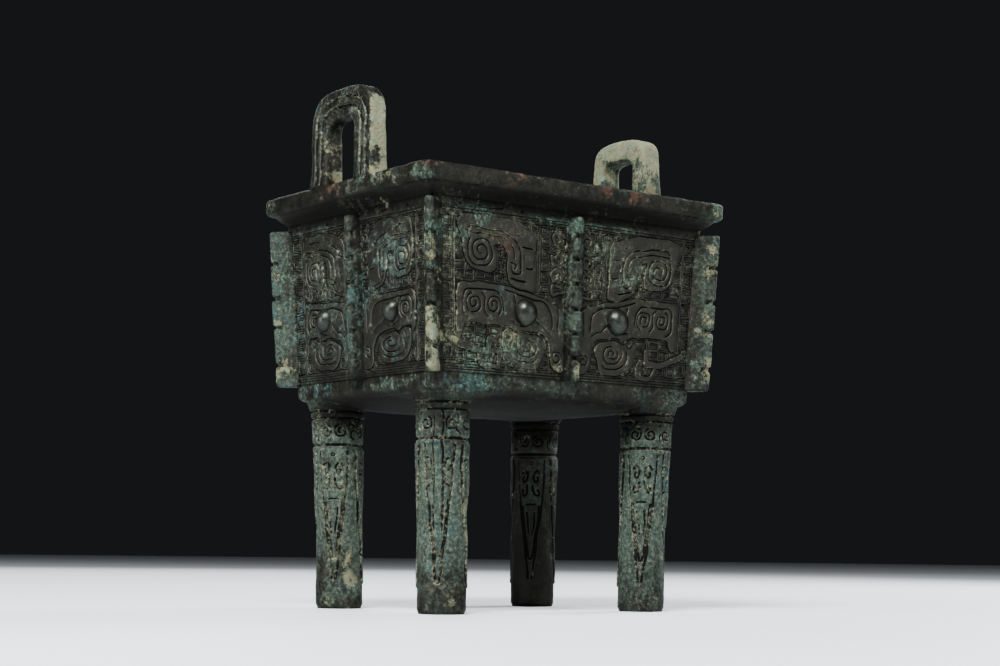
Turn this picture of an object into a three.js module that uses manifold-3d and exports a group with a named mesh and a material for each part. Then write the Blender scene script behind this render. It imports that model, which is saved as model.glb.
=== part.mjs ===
// Square bronze ding: an ancient four-legged cauldron cast in one piece.
// Millimetres, +Z up. The origin lies on the ground under the middle of the vessel,
// X runs along the long side and the flanged front looks along -Y.

import * as THREE from 'three';
import { mergeVertices } from 'three/addons/utils/BufferGeometryUtils.js';
import Module from 'manifold-3d';

const wasm = await Module();
wasm.setup();

// Heights, counted up from the ground
const legHeight = 90.0;
const skirtHeight = 8.1;
const panelHeight = 67.6;
const neckHeight = 3.9;
const rimFlareHeight = 4.0;
const lipHeight = 7.9;

// Vessel in plan, as half sizes
const wallFootHalfLength = 69.8;
const wallFootHalfWidth = 54.0;
const wallLeanLength = 4.0;
const wallLeanWidth = 2.8;
const rimHalfLength = 82.0;
const rimHalfWidth = 63.9;
const bodyCornerRadius = 2.4;
const rimCornerRadius = 1.8;
const lipEdge = 1.1;

// Underside and cavity
const undersideDrop = 4.4;
const skirtRound = 3.6;
const skirtInset = 0.5;
const skirtBendShare = 0.3;
const skirtBendRadius = 3.4;
const skirtFootRadius = 5.0;
const wallThickness = 4.2;
const floorThickness = 5.0;
const cavityCornerRadius = 7.0;
const cavityFloorRound = 6.0;

// The shallow belly under the floor, from its lowest ring up: shares of the drop and of the
// foot's half sizes, and the radius of the ring's corners
const bellyRings = [
  { drop: 1, length: 0.5, width: 0.45, radius: 12 },
  { drop: 0.45, length: 0.8, width: 0.75, radius: 9 },
];

// Cast relief on the walls: each line of a mask stands a little prouder than the one before
const reliefHeight = 0.7;
const reliefStep = 0.04;

// Corner flanges
const cornerFlangeReach = 5.8;
const cornerFlangeRoot = 7.3;
const cornerFlangeTip = 3.4;
const cornerNotchShares = [0.13, 0.38, 0.57, 0.8];

// Flanges down the middle of each wall
const middleFlangeReach = 5.7;
const middleFlangeRoot = 6.2;
const middleFlangeTip = 3.5;
const middleNotchCount = 6;
const middleNotchFirst = 8.8;
const middleNotchPitch = 10.4;

// Slits that part the flanges into hooks
const notchHeight = 1.5;
const notchWeb = 1.4;
const notchShare = 0.5;
const flangeEndRound = 1.3;
const flangeFootSlope = 1.5;
const flangeSink = 3.4;

// Round eyes of the masks
const eyeHalfWidth = 5.2;
const eyeHalfHeight = 5.7;
const eyeReach = 4.3;
const eyeHeight = 26.4;
const longEyeOffset = 25.2;
const shortEyeOffset = 26.3;

// Legs
const legOffsetLength = 53.7;
const legOffsetWidth = 38.8;
const legSplayLength = 1.6;
const legSplayWidth = 1.4;
const footRadius = 10.2;
const shankRadius = 9.8;
const legTopRadius = 11.3;
const legRootRadius = 13.6;
const legRootHeight = 8.0;
const footEdge = 0.5;
const legSides = 12;
const legRingHeight = 0.45;
const legRingWidth = 1.6;
const legWaistHeight = 40.0;
const maskBandFoot = 71.2;
const maskBandTop = 84.2;
const legNoseWidth = 3.4;
const legNoseHeight = 0.9;
const bladeCount = 4;
const bladeTipZ = 11;
const bladeHalfWidth = 6.6;
const bladeHeight = 0.45;

// Handles: each stands on a short rim, and no two hand-made handles are alike
const leftHandle = {
  side: -1,
  width: 47.5,
  topNarrowing: 0,
  centre: 1.15,
  height: 40.5,
  archRise: 15.0,
  footThickness: 9.2,
  topThickness: 7.4,
  openingWidth: 20.3,
  openingCentre: 1.7,
  openingHeight: 27.4,
  openingRise: 7.2,
};
const rightHandle = {
  side: 1,
  width: 40.6,
  topNarrowing: 2.2,
  centre: -1.6,
  height: 37.4,
  archRise: 11.0,
  footThickness: 11.2,
  topThickness: 10.4,
  openingWidth: 20.3,
  openingCentre: -1.2,
  openingHeight: 27.5,
  openingRise: 6.2,
};
const handleRimInset = 0.3;
const handleArchSteps = 10;
const handleArchSquareness = 3;
const handleGrooveInsets = [3.6, 7.6];
const handleGrooveWidth = 1.3;
const handleGrooveDepth = 0.7;
const archRiseLoss = 0.6;

// How far joined shapes reach into each other
const overlap = 1.2;

// Places that follow from the sizes above
const panelFootZ = legHeight + skirtHeight;
const panelTopZ = panelFootZ + panelHeight;
const neckZ = panelTopZ + neckHeight;
const lipFootZ = neckZ + rimFlareHeight;
const rimTopZ = lipFootZ + lipHeight;
const longWallMidLength = wallFootHalfLength + wallLeanLength / 2;
const shortWallMidLength = wallFootHalfWidth + wallLeanWidth / 2;

function wallHalfLength(z) {
  return wallFootHalfLength + (wallLeanLength * (z - panelFootZ)) / panelHeight;
}

function wallHalfWidth(z) {
  return wallFootHalfWidth + (wallLeanWidth * (z - panelFootZ)) / panelHeight;
}

// Solids and geometry

function toSolid(geometry) {
  const bare = geometry.clone();
  bare.deleteAttribute('normal');
  bare.deleteAttribute('uv');
  const merged = mergeVertices(bare, 1e-4);
  return new wasm.Manifold(
    new wasm.Mesh({
      numProp: 3,
      vertProperties: new Float32Array(merged.attributes.position.array),
      triVerts: new Uint32Array(merged.index.array),
    }),
  );
}

function toGeometry(solid) {
  const mesh = solid.getMesh();
  const geometry = new THREE.BufferGeometry();
  geometry.setAttribute('position', new THREE.BufferAttribute(mesh.vertProperties, 3));
  geometry.setIndex(new THREE.BufferAttribute(mesh.triVerts, 1));
  return geometry;
}

function addAll(solids) {
  return solids.reduce((whole, solid) => whole.add(solid));
}

// Moves every corner of a geometry by a rule; a mirrored rule turns the faces back outwards.
function reshape(geometry, rule, mirrored = false) {
  const merged = geometry.index ? geometry.clone() : mergeVertices(stripped(geometry), 1e-4);
  const position = merged.attributes.position;
  for (let i = 0; i < position.count; i += 1) {
    const moved = rule(position.getX(i), position.getY(i), position.getZ(i));
    position.setXYZ(i, moved[0], moved[1], moved[2]);
  }
  if (mirrored) {
    const index = merged.index;
    for (let i = 0; i < index.count; i += 3) {
      const first = index.getX(i);
      index.setX(i, index.getX(i + 1));
      index.setX(i + 1, first);
    }
  }
  return merged;
}

function stripped(geometry) {
  const bare = geometry.clone();
  bare.deleteAttribute('normal');
  bare.deleteAttribute('uv');
  return bare;
}

// Skin over a stack of convex outlines that all have the same number of corners.
function loft(outlines) {
  const count = outlines[0].length;
  const positions = outlines.flat().flat();
  const index = [];
  for (let i = 1; i < count - 1; i += 1) {
    index.push(0, i + 1, i);
    const top = (outlines.length - 1) * count;
    index.push(top, top + i, top + i + 1);
  }
  for (let ring = 0; ring < outlines.length - 1; ring += 1) {
    for (let i = 0; i < count; i += 1) {
      const a = ring * count + i;
      const b = ring * count + ((i + 1) % count);
      index.push(a, b, b + count, a, b + count, a + count);
    }
  }
  const geometry = new THREE.BufferGeometry();
  geometry.setAttribute('position', new THREE.Float32BufferAttribute(positions, 3));
  geometry.setIndex(index);
  return geometry;
}

function roundedRectangle(z, halfLength, halfWidth, radius, cornerSteps = 2) {
  const outline = [];
  const centres = [[1, 1], [-1, 1], [-1, -1], [1, -1]];
  centres.forEach(([sx, sy], corner) => {
    for (let step = 0; step <= cornerSteps; step += 1) {
      const angle = (Math.PI / 2) * (corner + step / cornerSteps);
      outline.push([
        sx * (halfLength - radius) + radius * Math.cos(angle),
        sy * (halfWidth - radius) + radius * Math.sin(angle),
        z,
      ]);
    }
  });
  return outline;
}

// Vessel body

function wallOutline(z, radius) {
  return roundedRectangle(z, wallHalfLength(z), wallHalfWidth(z), radius);
}

function makeBody() {
  const skirt = (z, inset, radius) => roundedRectangle(
    z,
    wallFootHalfLength - skirtInset - inset,
    wallFootHalfWidth - skirtInset - inset,
    radius,
  );
  const belly = bellyRings.map(({ drop, length, width, radius }) => roundedRectangle(
    legHeight - undersideDrop * drop,
    wallFootHalfLength * length,
    wallFootHalfWidth * width,
    radius,
  ));
  const outlines = [
    ...belly,
    skirt(legHeight, skirtRound, skirtFootRadius),
    skirt(
      legHeight + skirtRound * skirtBendShare,
      skirtRound * skirtBendShare,
      skirtBendRadius,
    ),
    skirt(legHeight + skirtRound, 0, bodyCornerRadius),
    skirt(panelFootZ, 0, bodyCornerRadius),
    wallOutline(panelFootZ + skirtInset, bodyCornerRadius),
    wallOutline(neckZ, bodyCornerRadius),
    roundedRectangle(lipFootZ, rimHalfLength - lipEdge, rimHalfWidth - lipEdge, rimCornerRadius),
    roundedRectangle(lipFootZ + lipEdge, rimHalfLength, rimHalfWidth, rimCornerRadius),
    roundedRectangle(rimTopZ - lipEdge / 2, rimHalfLength, rimHalfWidth, rimCornerRadius),
    roundedRectangle(rimTopZ, rimHalfLength - lipEdge / 2, rimHalfWidth - lipEdge / 2, rimCornerRadius),
  ];
  return toSolid(loft(outlines));
}

function makeCavity() {
  const floorZ = legHeight + floorThickness;
  const inner = (z, inset) => roundedRectangle(
    z,
    wallHalfLength(z) - wallThickness - inset,
    wallHalfWidth(z) - wallThickness - inset,
    cavityCornerRadius,
  );
  const topZ = rimTopZ + overlap;
  return toSolid(loft([
    inner(floorZ, cavityFloorRound),
    inner(floorZ + cavityFloorRound * skirtBendShare, cavityFloorRound * skirtBendShare),
    inner(floorZ + cavityFloorRound, 0),
    inner(topZ, 0),
  ]));
}

// Wall frames: a point of a mask, counted outwards from the middle of its wall, up from the
// foot of the panel and out of the wall's ground, put in its place on one of the four walls.

const walls = [
  { long: true, facing: -1 },
  { long: true, facing: 1 },
  { long: false, facing: -1 },
  { long: false, facing: 1 },
];

function onWall(wall, hand) {
  return (across, up, out) => {
    const z = panelFootZ + up;
    if (wall.long) {
      const x = hand * across * (wallHalfLength(z) / longWallMidLength);
      return [x, wall.facing * (wallHalfWidth(z) + out), z];
    }
    const y = hand * across * (wallHalfWidth(z) / shortWallMidLength);
    return [wall.facing * (wallHalfLength(z) + out), y, z];
  };
}

function isMirrored(wall, hand) {
  const turn = wall.long ? -wall.facing : wall.facing;
  return turn * hand < 0;
}

// Carved lines

// A coil with squared shoulders that winds inwards from its outer radius to its inner one.
function coil({ centre, outer, inner, turns, start, stretch = 1, squareness = 2.6, steps }) {
  const points = [];
  for (let step = 0; step <= steps; step += 1) {
    const share = step / steps;
    const angle = THREE.MathUtils.degToRad(start) - share * turns * 2 * Math.PI;
    const c = Math.cos(angle);
    const s = Math.sin(angle);
    const square = (Math.abs(c) ** squareness + Math.abs(s) ** squareness) ** (-1 / squareness);
    const radius = (outer + (inner - outer) * share) * square;
    points.push(new THREE.Vector2(centre[0] + radius * stretch * c, centre[1] + radius * s));
  }
  return points;
}

// The outline of a raised band of even width along a line.
function bandShape(line, width) {
  const left = [];
  const right = [];
  line.forEach((point, i) => {
    const before = line[Math.max(i - 1, 0)];
    const after = line[Math.min(i + 1, line.length - 1)];
    const along = after.clone().sub(before).normalize();
    const across = new THREE.Vector2(-along.y, along.x).multiplyScalar(width / 2);
    left.push(point.clone().add(across));
    right.push(point.clone().sub(across));
  });
  return new THREE.Shape([...left, ...right.reverse()]);
}

function raised(shape, height, sink) {
  const geometry = new THREE.ExtrudeGeometry(shape, {
    depth: height + sink,
    bevelEnabled: false,
    curveSegments: 1,
  });
  geometry.translate(0, 0, -sink);
  return geometry;
}

// Half of a mask on a long wall and on a short wall: horn, brow and nose, ear, jaw and nostril
const wideMask = {
  hornPlate: [
    [57.6, 58.4], [58.4, 62], [56, 64.2], [36, 64.4], [28, 62.8], [21.4, 59], [20.4, 37],
    [33, 38.8], [34.4, 52], [38.5, 56], [47, 57.4],
  ],
  hornCoil: {
    centre: [47.8, 51], outer: 9.1, inner: 2.4, turns: 1.8, start: 48, steps: 12,
  },
  brow: [
    [58.7, 17.5], [58.8, 31], [57.4, 34.6], [54, 35.6], [36, 35.5], [27, 34.4], [19, 32.8],
    [11, 30.6], [7.6, 28.6], [6.2, 25], [6.2, 15],
  ],
  browWidth: 2.3,
  earCoils: [
    { centre: [51.2, 28.6], outer: 4.1, inner: 1.2, turns: 1.3, start: 150, steps: 6 },
    { centre: [41.2, 28.6], outer: 4.1, inner: 1.2, turns: 1.3, start: -30, steps: 6 },
  ],
  cheek: [[54, 22.2], [36, 22], [31, 20.6]],
  jawCoil: {
    centre: [24.2, 11.2], outer: 8.6, inner: 2.4, turns: 1.8, start: 20, stretch: 1.2, steps: 12,
  },
  nostril: {
    centre: [7.2, 8.6], outer: 3.1, inner: 1.1, turns: 0.9, start: -170, steps: 5,
  },
  eyeOffset: longEyeOffset,
};

const narrowMask = {
  hornPlate: [
    [40.4, 57.6], [40.6, 62], [38, 64], [22, 63.6], [14, 61.4], [9.6, 57], [9.2, 36.6],
    [22, 38], [17, 42], [17, 50], [22, 55.4], [30, 56.8],
  ],
  hornCoil: {
    centre: [33.6, 48.4], outer: 8.6, inner: 2.4, turns: 1.8, start: 48, steps: 12,
  },
  brow: [
    [42.3, 21], [42.4, 30], [41.2, 32.4], [38, 33], [22, 33], [12, 32], [7, 30], [5.6, 26],
    [5.6, 15],
  ],
  browWidth: 2.2,
  earCoils: [
    { centre: [36.2, 26.8], outer: 3.9, inner: 1.2, turns: 1.3, start: 150, steps: 6 },
  ],
  cheek: [[38, 21], [31, 21], [27, 19.6]],
  jawCoil: {
    centre: [25.2, 12.4], outer: 8.6, inner: 2.4, turns: 1.8, start: 20, stretch: 1.25, steps: 12,
  },
  nostril: {
    centre: [6.9, 9.6], outer: 3.1, inner: 1.1, turns: 0.9, start: -170, steps: 5,
  },
  eyeOffset: shortEyeOffset,
};

const coilBandWidth = 1.9;
const earBandWidth = 1.3;
const cheekBandWidth = 2.6;

function maskBands(mask) {
  const plate = new THREE.Shape(mask.hornPlate.map(([x, y]) => new THREE.Vector2(x, y)));
  const points = (list) => list.map(([x, y]) => new THREE.Vector2(x, y));
  return [
    plate,
    bandShape(coil(mask.hornCoil), coilBandWidth),
    bandShape(points(mask.brow), mask.browWidth),
    ...mask.earCoils.map((ear) => bandShape(coil(ear), earBandWidth)),
    bandShape(points(mask.cheek), cheekBandWidth),
    bandShape(coil(mask.jawCoil), coilBandWidth),
    bandShape(coil(mask.nostril), earBandWidth),
  ];
}

function makeEye(wall, hand, offset) {
  const dome = new THREE.SphereGeometry(1, 10, 6);
  const placed = onWall(wall, hand);
  const bulge = (x, y, z) => placed(
    offset + x * eyeHalfWidth,
    eyeHeight + y * eyeHalfHeight,
    z * (eyeReach + reliefHeight),
  );
  return reshape(mergeVertices(stripped(dome), 1e-4), bulge, isMirrored(wall, hand));
}

function makeWallRelief() {
  const solids = [];
  walls.forEach((wall) => {
    const mask = wall.long ? wideMask : narrowMask;
    [-1, 1].forEach((hand) => {
      maskBands(mask).forEach((shape, layer) => {
        const geometry = raised(shape, reliefHeight + layer * reliefStep, overlap);
        solids.push(toSolid(reshape(geometry, onWall(wall, hand), isMirrored(wall, hand))));
      });
      solids.push(toSolid(makeEye(wall, hand, mask.eyeOffset)));
    });
  });
  return addAll(solids);
}

// Flanges: a wedge that stands off the wall, slit from both sides into hooks around a thin web.
// Each is drawn around a root line that leans with the wall.

function makeFlange({ root, out, reach, rootWidth, tipWidth, notches }) {
  const side = [-out[1], out[0]];
  const at = (z, depth, across) => {
    const [x, y] = root(z);
    return [x + out[0] * depth + side[0] * across, y + out[1] * depth + side[1] * across, z];
  };
  const outline = (z, drawn) => [
    at(z, -flangeSink, rootWidth / 2),
    at(z, -flangeSink, -rootWidth / 2),
    at(z, 0, -rootWidth / 2),
    at(z, reach - drawn, -tipWidth / 2),
    at(z, reach - drawn, tipWidth / 2),
    at(z, 0, rootWidth / 2),
  ];
  const body = toSolid(loft([
    outline(panelFootZ - flangeEndRound, flangeEndRound * flangeFootSlope),
    outline(panelFootZ, 0),
    outline(panelTopZ - flangeEndRound, 0),
    outline(panelTopZ, flangeEndRound),
  ]));
  const cut = (z, hand) => {
    const near = notchWeb / 2;
    const far = rootWidth;
    const deep = reach * notchShare;
    const corners = [[deep, near], [reach + overlap, near], [reach + overlap, far], [deep, far]];
    const ring = (height) => {
      const points = corners.map(([depth, across]) => at(height, depth, hand * across));
      return hand > 0 ? points : points.reverse();
    };
    return toSolid(loft([ring(z - notchHeight / 2), ring(z + notchHeight / 2)]));
  };
  const cuts = notches.flatMap((z) => [cut(z, 1), cut(z, -1)]);
  return body.subtract(addAll(cuts));
}

function makeFlanges() {
  const cornerNotches = cornerNotchShares.map((share) => panelFootZ + share * panelHeight);
  const middleNotches = Array.from(
    { length: middleNotchCount },
    (_, i) => panelFootZ + middleNotchFirst + i * middleNotchPitch,
  );
  const flanges = [];
  [-1, 1].forEach((sx) => {
    [-1, 1].forEach((sy) => {
      flanges.push(makeFlange({
        root: (z) => [sx * wallHalfLength(z), sy * wallHalfWidth(z)],
        out: [sx * Math.SQRT1_2, sy * Math.SQRT1_2],
        reach: cornerFlangeReach * Math.SQRT2,
        rootWidth: cornerFlangeRoot,
        tipWidth: cornerFlangeTip,
        notches: cornerNotches,
      }));
    });
  });
  const middle = { reach: middleFlangeReach, rootWidth: middleFlangeRoot, tipWidth: middleFlangeTip };
  [-1, 1].forEach((facing) => {
    flanges.push(makeFlange({
      ...middle,
      root: (z) => [0, facing * wallHalfWidth(z)],
      out: [0, facing],
      notches: middleNotches,
    }));
    flanges.push(makeFlange({
      ...middle,
      root: (z) => [facing * wallHalfLength(z), 0],
      out: [facing, 0],
      notches: middleNotches,
    }));
  });
  return addAll(flanges);
}

// Legs: turned shanks with ring lines, a mask band with its nose on the outer diagonal
// and hanging blades below. The first profile point and the last lie on the axis.

function legRadiusAt(z) {
  const rootFoot = legHeight - legRootHeight;
  const below = Math.min(z / legWaistHeight, 1);
  const above = THREE.MathUtils.clamp((z - legWaistHeight) / (rootFoot - legWaistHeight), 0, 1);
  const flare = Math.max(0, (z - rootFoot) / legRootHeight);
  return footRadius + (shankRadius - footRadius) * below
    + (legTopRadius - shankRadius) * above
    + (legRootRadius - legTopRadius) * flare ** 2;
}

function ringProfile(z) {
  const half = legRingWidth / 2;
  return [
    [legRadiusAt(z - half), z - half],
    [legRadiusAt(z) + legRingHeight, z],
    [legRadiusAt(z + half), z + half],
  ];
}

function makeLeg(sx, sy) {
  const flareBend = (maskBandTop + legHeight) / 2;
  const profile = [
    [0, 0],
    [footRadius - footEdge, 0],
    [footRadius, footEdge],
    [shankRadius, legWaistHeight],
    ...ringProfile(maskBandFoot),
    ...ringProfile(maskBandTop),
    [legRadiusAt(flareBend), flareBend],
    [legRootRadius, legHeight],
    [legRootRadius, legHeight + skirtRound],
    [0, legHeight + skirtRound],
  ].map(([r, z]) => new THREE.Vector2(r, z));
  const shank = toSolid(new THREE.LatheGeometry(profile, legSides).rotateX(Math.PI / 2));

  const bladePrism = (angle) => {
    const shape = new THREE.Shape([
      new THREE.Vector2(-bladeHalfWidth, maskBandFoot - legRingWidth),
      new THREE.Vector2(0, bladeTipZ),
      new THREE.Vector2(bladeHalfWidth, maskBandFoot - legRingWidth),
    ]);
    const prism = new THREE.ExtrudeGeometry(shape, { depth: legTopRadius * 2, bevelEnabled: false });
    return toSolid(prism.rotateX(Math.PI / 2).rotateZ(angle));
  };
  const bladeBody = new THREE.LatheGeometry(
    [
      [0, bladeTipZ - legRingWidth],
      [footRadius + bladeHeight, bladeTipZ - legRingWidth],
      [shankRadius + bladeHeight, legWaistHeight],
      [legRadiusAt(maskBandFoot) + bladeHeight, maskBandFoot],
      [0, maskBandFoot],
    ].map(([r, z]) => new THREE.Vector2(r, z)),
    legSides,
  );
  const outward = Math.atan2(sy, sx) + Math.PI / 2;
  const prisms = Array.from(
    { length: bladeCount },
    (_, i) => bladePrism(outward + (i * 2 * Math.PI) / bladeCount),
  );
  const blades = toSolid(bladeBody.rotateX(Math.PI / 2)).intersect(addAll(prisms));

  const noseReach = legTopRadius + legNoseHeight;
  const nose = new THREE.BoxGeometry(noseReach, legNoseWidth, maskBandTop - maskBandFoot);
  nose.translate(noseReach / 2, 0, (maskBandTop + maskBandFoot) / 2);
  nose.rotateZ(Math.atan2(sy, sx));

  const stand = (solid) => toSolid(reshape(toGeometry(solid), (x, y, z) => [
    x + sx * (legOffsetLength + (legSplayLength * z) / legHeight),
    y + sy * (legOffsetWidth + (legSplayWidth * z) / legHeight),
    z,
  ]));
  return stand(addAll([shank, blades, toSolid(nose)]));
}

// Handles: a squared arch with an opening, standing flush with the rim's outer face

function archPoints(halfWidth, narrowing, centre, foot, height, rise) {
  const points = [[centre + halfWidth, foot]];
  for (let step = 0; step <= handleArchSteps; step += 1) {
    const angle = (Math.PI * step) / handleArchSteps;
    const c = Math.cos(angle);
    const s = Math.sin(angle);
    const power = 2 / handleArchSquareness;
    const reach = halfWidth - narrowing;
    points.push([
      centre + Math.sign(c) * Math.abs(c) ** power * reach,
      height - rise + Math.abs(s) ** power * rise,
    ]);
  }
  points.push([centre - halfWidth, foot]);
  return points.map(([x, y]) => new THREE.Vector2(x, y));
}

function handleOutline(handle, inset, foot) {
  return archPoints(
    handle.width / 2 - inset,
    handle.topNarrowing,
    handle.centre,
    foot,
    handle.height - inset,
    handle.archRise - inset * archRiseLoss,
  );
}

function makeHandle(handle) {
  const arch = new THREE.Shape(handleOutline(handle, 0, -overlap));
  const opening = new THREE.Path(archPoints(
    handle.openingWidth / 2,
    0,
    handle.openingCentre,
    0,
    handle.openingHeight,
    handle.openingRise,
  ));
  arch.holes.push(opening);
  const stand = (width, height, depth) => {
    const share = Math.max(0, height) / handle.height;
    const thickness = handle.footThickness + (handle.topThickness - handle.footThickness) * share;
    const outerFace = rimHalfLength - handleRimInset;
    return [handle.side * (outerFace - thickness * depth), width, rimTopZ + height];
  };
  const slab = new THREE.ExtrudeGeometry(arch, { depth: 1, bevelEnabled: false });
  const mirrored = handle.side > 0;
  const body = toSolid(reshape(mergeVertices(stripped(slab), 1e-4), stand, mirrored));

  const grooves = handleGrooveInsets.map((inset) => {
    const outer = handleOutline(handle, inset, overlap);
    const innerLine = handleOutline(handle, inset + handleGrooveWidth, overlap);
    const ring = new THREE.Shape([...outer, ...innerLine.reverse()]);
    const cutter = new THREE.ExtrudeGeometry(ring, { depth: 1, bevelEnabled: false });
    const depthShare = handleGrooveDepth / handle.topThickness;
    const sunk = (width, height, depth) => stand(width, height, (depth * 2 - 1) * depthShare);
    return toSolid(reshape(mergeVertices(stripped(cutter), 1e-4), sunk, mirrored));
  });
  return body.subtract(addAll(grooves));
}

// The whole casting

function makeDing() {
  const legs = [[1, 1], [-1, 1], [-1, -1], [1, -1]].map(([sx, sy]) => makeLeg(sx, sy));
  const shell = addAll([makeBody(), makeWallRelief(), makeFlanges(), ...legs]).subtract(makeCavity());
  return addAll([shell, makeHandle(leftHandle), makeHandle(rightHandle)]);
}

const bronze = new THREE.MeshStandardMaterial({ color: 0x4a4a3f, roughness: 0.55, metalness: 0.6 });
const ding = new THREE.Mesh(toGeometry(makeDing()), bronze);
ding.name = 'square_ding';

const group = new THREE.Group();
group.add(ding);

export default group;
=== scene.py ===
"""Square bronze ding: an ancient four-legged cauldron, cast in one piece, on a pale studio floor."""

import math

import bmesh
import bpy
import numpy as np
from mathutils import Matrix, Vector
from mathutils.geometry import delaunay_2d_cdt


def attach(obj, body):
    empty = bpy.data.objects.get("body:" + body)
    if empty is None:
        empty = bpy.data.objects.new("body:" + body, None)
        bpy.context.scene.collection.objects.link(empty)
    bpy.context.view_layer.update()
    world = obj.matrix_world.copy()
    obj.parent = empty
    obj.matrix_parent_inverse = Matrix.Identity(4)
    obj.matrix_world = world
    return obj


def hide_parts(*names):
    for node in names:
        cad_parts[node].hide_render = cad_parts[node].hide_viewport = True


bl_info = {
    "name": "Square bronze ding",
    "version": (1, 0, 0),
    "blender": (4, 5, 0),
    "location": "View3D > Sidebar > Ding",
    "description": "Builds a square four-legged bronze cauldron with its cast masks and patina",
    "category": "Add Mesh",
}

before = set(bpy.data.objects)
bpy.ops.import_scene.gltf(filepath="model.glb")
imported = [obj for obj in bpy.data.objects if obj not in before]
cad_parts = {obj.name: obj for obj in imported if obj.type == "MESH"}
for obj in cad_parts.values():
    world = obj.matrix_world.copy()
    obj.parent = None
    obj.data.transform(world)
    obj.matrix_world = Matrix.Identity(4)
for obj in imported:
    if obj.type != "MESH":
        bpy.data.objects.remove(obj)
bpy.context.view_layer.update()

MM = 0.001
CASTING = "square_ding"

# Heights of the casting, in millimetres above the floor
LEG_HEIGHT = 90.0
PANEL_FOOT = 98.1
PANEL_HEIGHT = 67.6
NECK = 3.9
FLARE_FOOT = PANEL_FOOT + PANEL_HEIGHT + NECK
LIP_FOOT = FLARE_FOOT + 4.0
RIM_TOP = LIP_FOOT + 7.9

# Half sizes of the casting in plan, in millimetres
WALL_LENGTH = 69.8
WALL_WIDTH = 54.0
LEAN_LENGTH = 4.0
LEAN_WIDTH = 2.8
RIM_LENGTH = 82.0
RIM_WIDTH = 63.9
MID_LENGTH = WALL_LENGTH + LEAN_LENGTH / 2
MID_WIDTH = WALL_WIDTH + LEAN_WIDTH / 2

# The casting's corners in turn, as signs along its length and its width
CORNERS = ((1, 1), (-1, 1), (-1, -1), (1, -1))


def half_length(z):
    """Half the walls' length at a height."""
    return WALL_LENGTH + LEAN_LENGTH * (z - PANEL_FOOT) / PANEL_HEIGHT


def half_width(z):
    """Half the walls' width at a height."""
    return WALL_WIDTH + LEAN_WIDTH * (z - PANEL_FOOT) / PANEL_HEIGHT


def walls_at(z):
    """Half the walls' length and width at a height."""
    return np.array([half_length(z), half_width(z)])


def on_wall(long, facing, along, z, out):
    """Places that stand out from a wall's face, given how far along its middle height they are."""
    if long:
        return np.column_stack([along * half_length(z) / MID_LENGTH,
                                facing * (half_width(z) + out), z])
    return np.column_stack([facing * (half_length(z) + out),
                            along * half_width(z) / MID_WIDTH, z])


# Lines, drawn in millimetres

# How square a coil's turns are: 2 is round
SHOULDERS = 2.6


def unit(rows):
    """The rows' directions, each one unit long."""
    return rows / np.maximum(np.linalg.norm(rows, axis=1, keepdims=True), 1e-9)


def smooth(points, closed=False, step=0.6):
    """An even curve through the points, with a corner about every step."""
    p = np.array(points, float)
    n = len(p)
    line = []
    for i in range(n if closed else n - 1):
        if closed:
            a, b, c, d = (p[(i + k) % n] for k in (-1, 0, 1, 2))
        else:
            a, b, c, d = p[max(i - 1, 0)], p[i], p[i + 1], p[min(i + 2, n - 1)]
        count = max(1, round(np.linalg.norm(c - b) / step))
        for t in np.arange(count) / count:
            line.append(
                0.5 * (2 * b + (c - a) * t + (2 * a - 5 * b + 4 * c - d) * t**2
                       + (3 * b - a - 3 * c + d) * t**3)
            )
    if not closed:
        line.append(p[-1])
    return np.array(line)


def coil(centre, outer, inner, turns, start, step=0.6, hand=-1):
    """A line with squared shoulders that winds inwards."""
    count = max(8, int(math.pi * (outer + inner) * turns / step))
    share = np.linspace(0, 1, count)
    angle = math.radians(start) + hand * share * turns * 2 * math.pi
    c, s = np.cos(angle), np.sin(angle)
    radius = outer + (inner - outer) * share
    radius *= (np.abs(c) ** SHOULDERS + np.abs(s) ** SHOULDERS) ** (-1 / SHOULDERS)
    return np.column_stack([centre[0] + radius * c, centre[1] + radius * s])


def fret(low, high, pitch, turned, mirrored):
    """A squared scroll that fills a cell, as on the lightning ground."""
    # The box's left side, foot, right side and top close in one after the other
    box = [*low, *high]
    line = [tuple(low)]
    side = 0
    while min(box[2] - box[0], box[3] - box[1]) > pitch * 0.6:
        line.append((box[2 if side < 2 else 0], box[3 if side in (1, 2) else 1]))
        side = (side + 1) % 4
        box[side] += pitch if side < 2 else -pitch
    middle = (np.array(low) + np.array(high)) / 2
    turn = np.array([-1 if turned != mirrored else 1, -1 if turned else 1])
    return (np.array(line) - middle) * turn + middle


def beside(line, distance, closed=False):
    """The line moved to its left by a distance."""
    p = np.asarray(line)
    if closed:
        before, after = np.roll(p, 1, 0), np.roll(p, -1, 0)
    else:
        before = np.vstack([2 * p[0] - p[1], p[:-1]])
        after = np.vstack([p[1:], 2 * p[-1] - p[-2]])
    u, w = unit(p - before), unit(after - p)
    side = np.column_stack([-u[:, 1], u[:, 0]])
    mitre = unit(side + np.column_stack([-w[:, 1], w[:, 0]]))
    stretch = 1 / np.maximum(np.sum(mitre * side, axis=1), 0.5)
    return p + mitre * stretch[:, None] * distance


def divided(line, closed=False):
    """The same line with extra corners, so that it can be bent round a leg."""
    p = np.vstack([line, line[:1]]) if closed else np.asarray(line, float)
    spans = []
    for a, b in zip(p[:-1], p[1:]):
        count = max(1, math.ceil(np.linalg.norm(b - a) / 1.2))
        spans.append(a + (b - a) * (np.arange(count) / count)[:, None])
    return np.vstack(spans if closed else spans + [p[-1:]])


def strokes(lines, closed=False):
    """The straight pieces of several lines, as starts and ends."""
    starts = [line if closed else line[:-1] for line in lines]
    ends = [np.roll(line, -1, 0) if closed else line[1:] for line in lines]
    return np.vstack(starts), np.vstack(ends)


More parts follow.
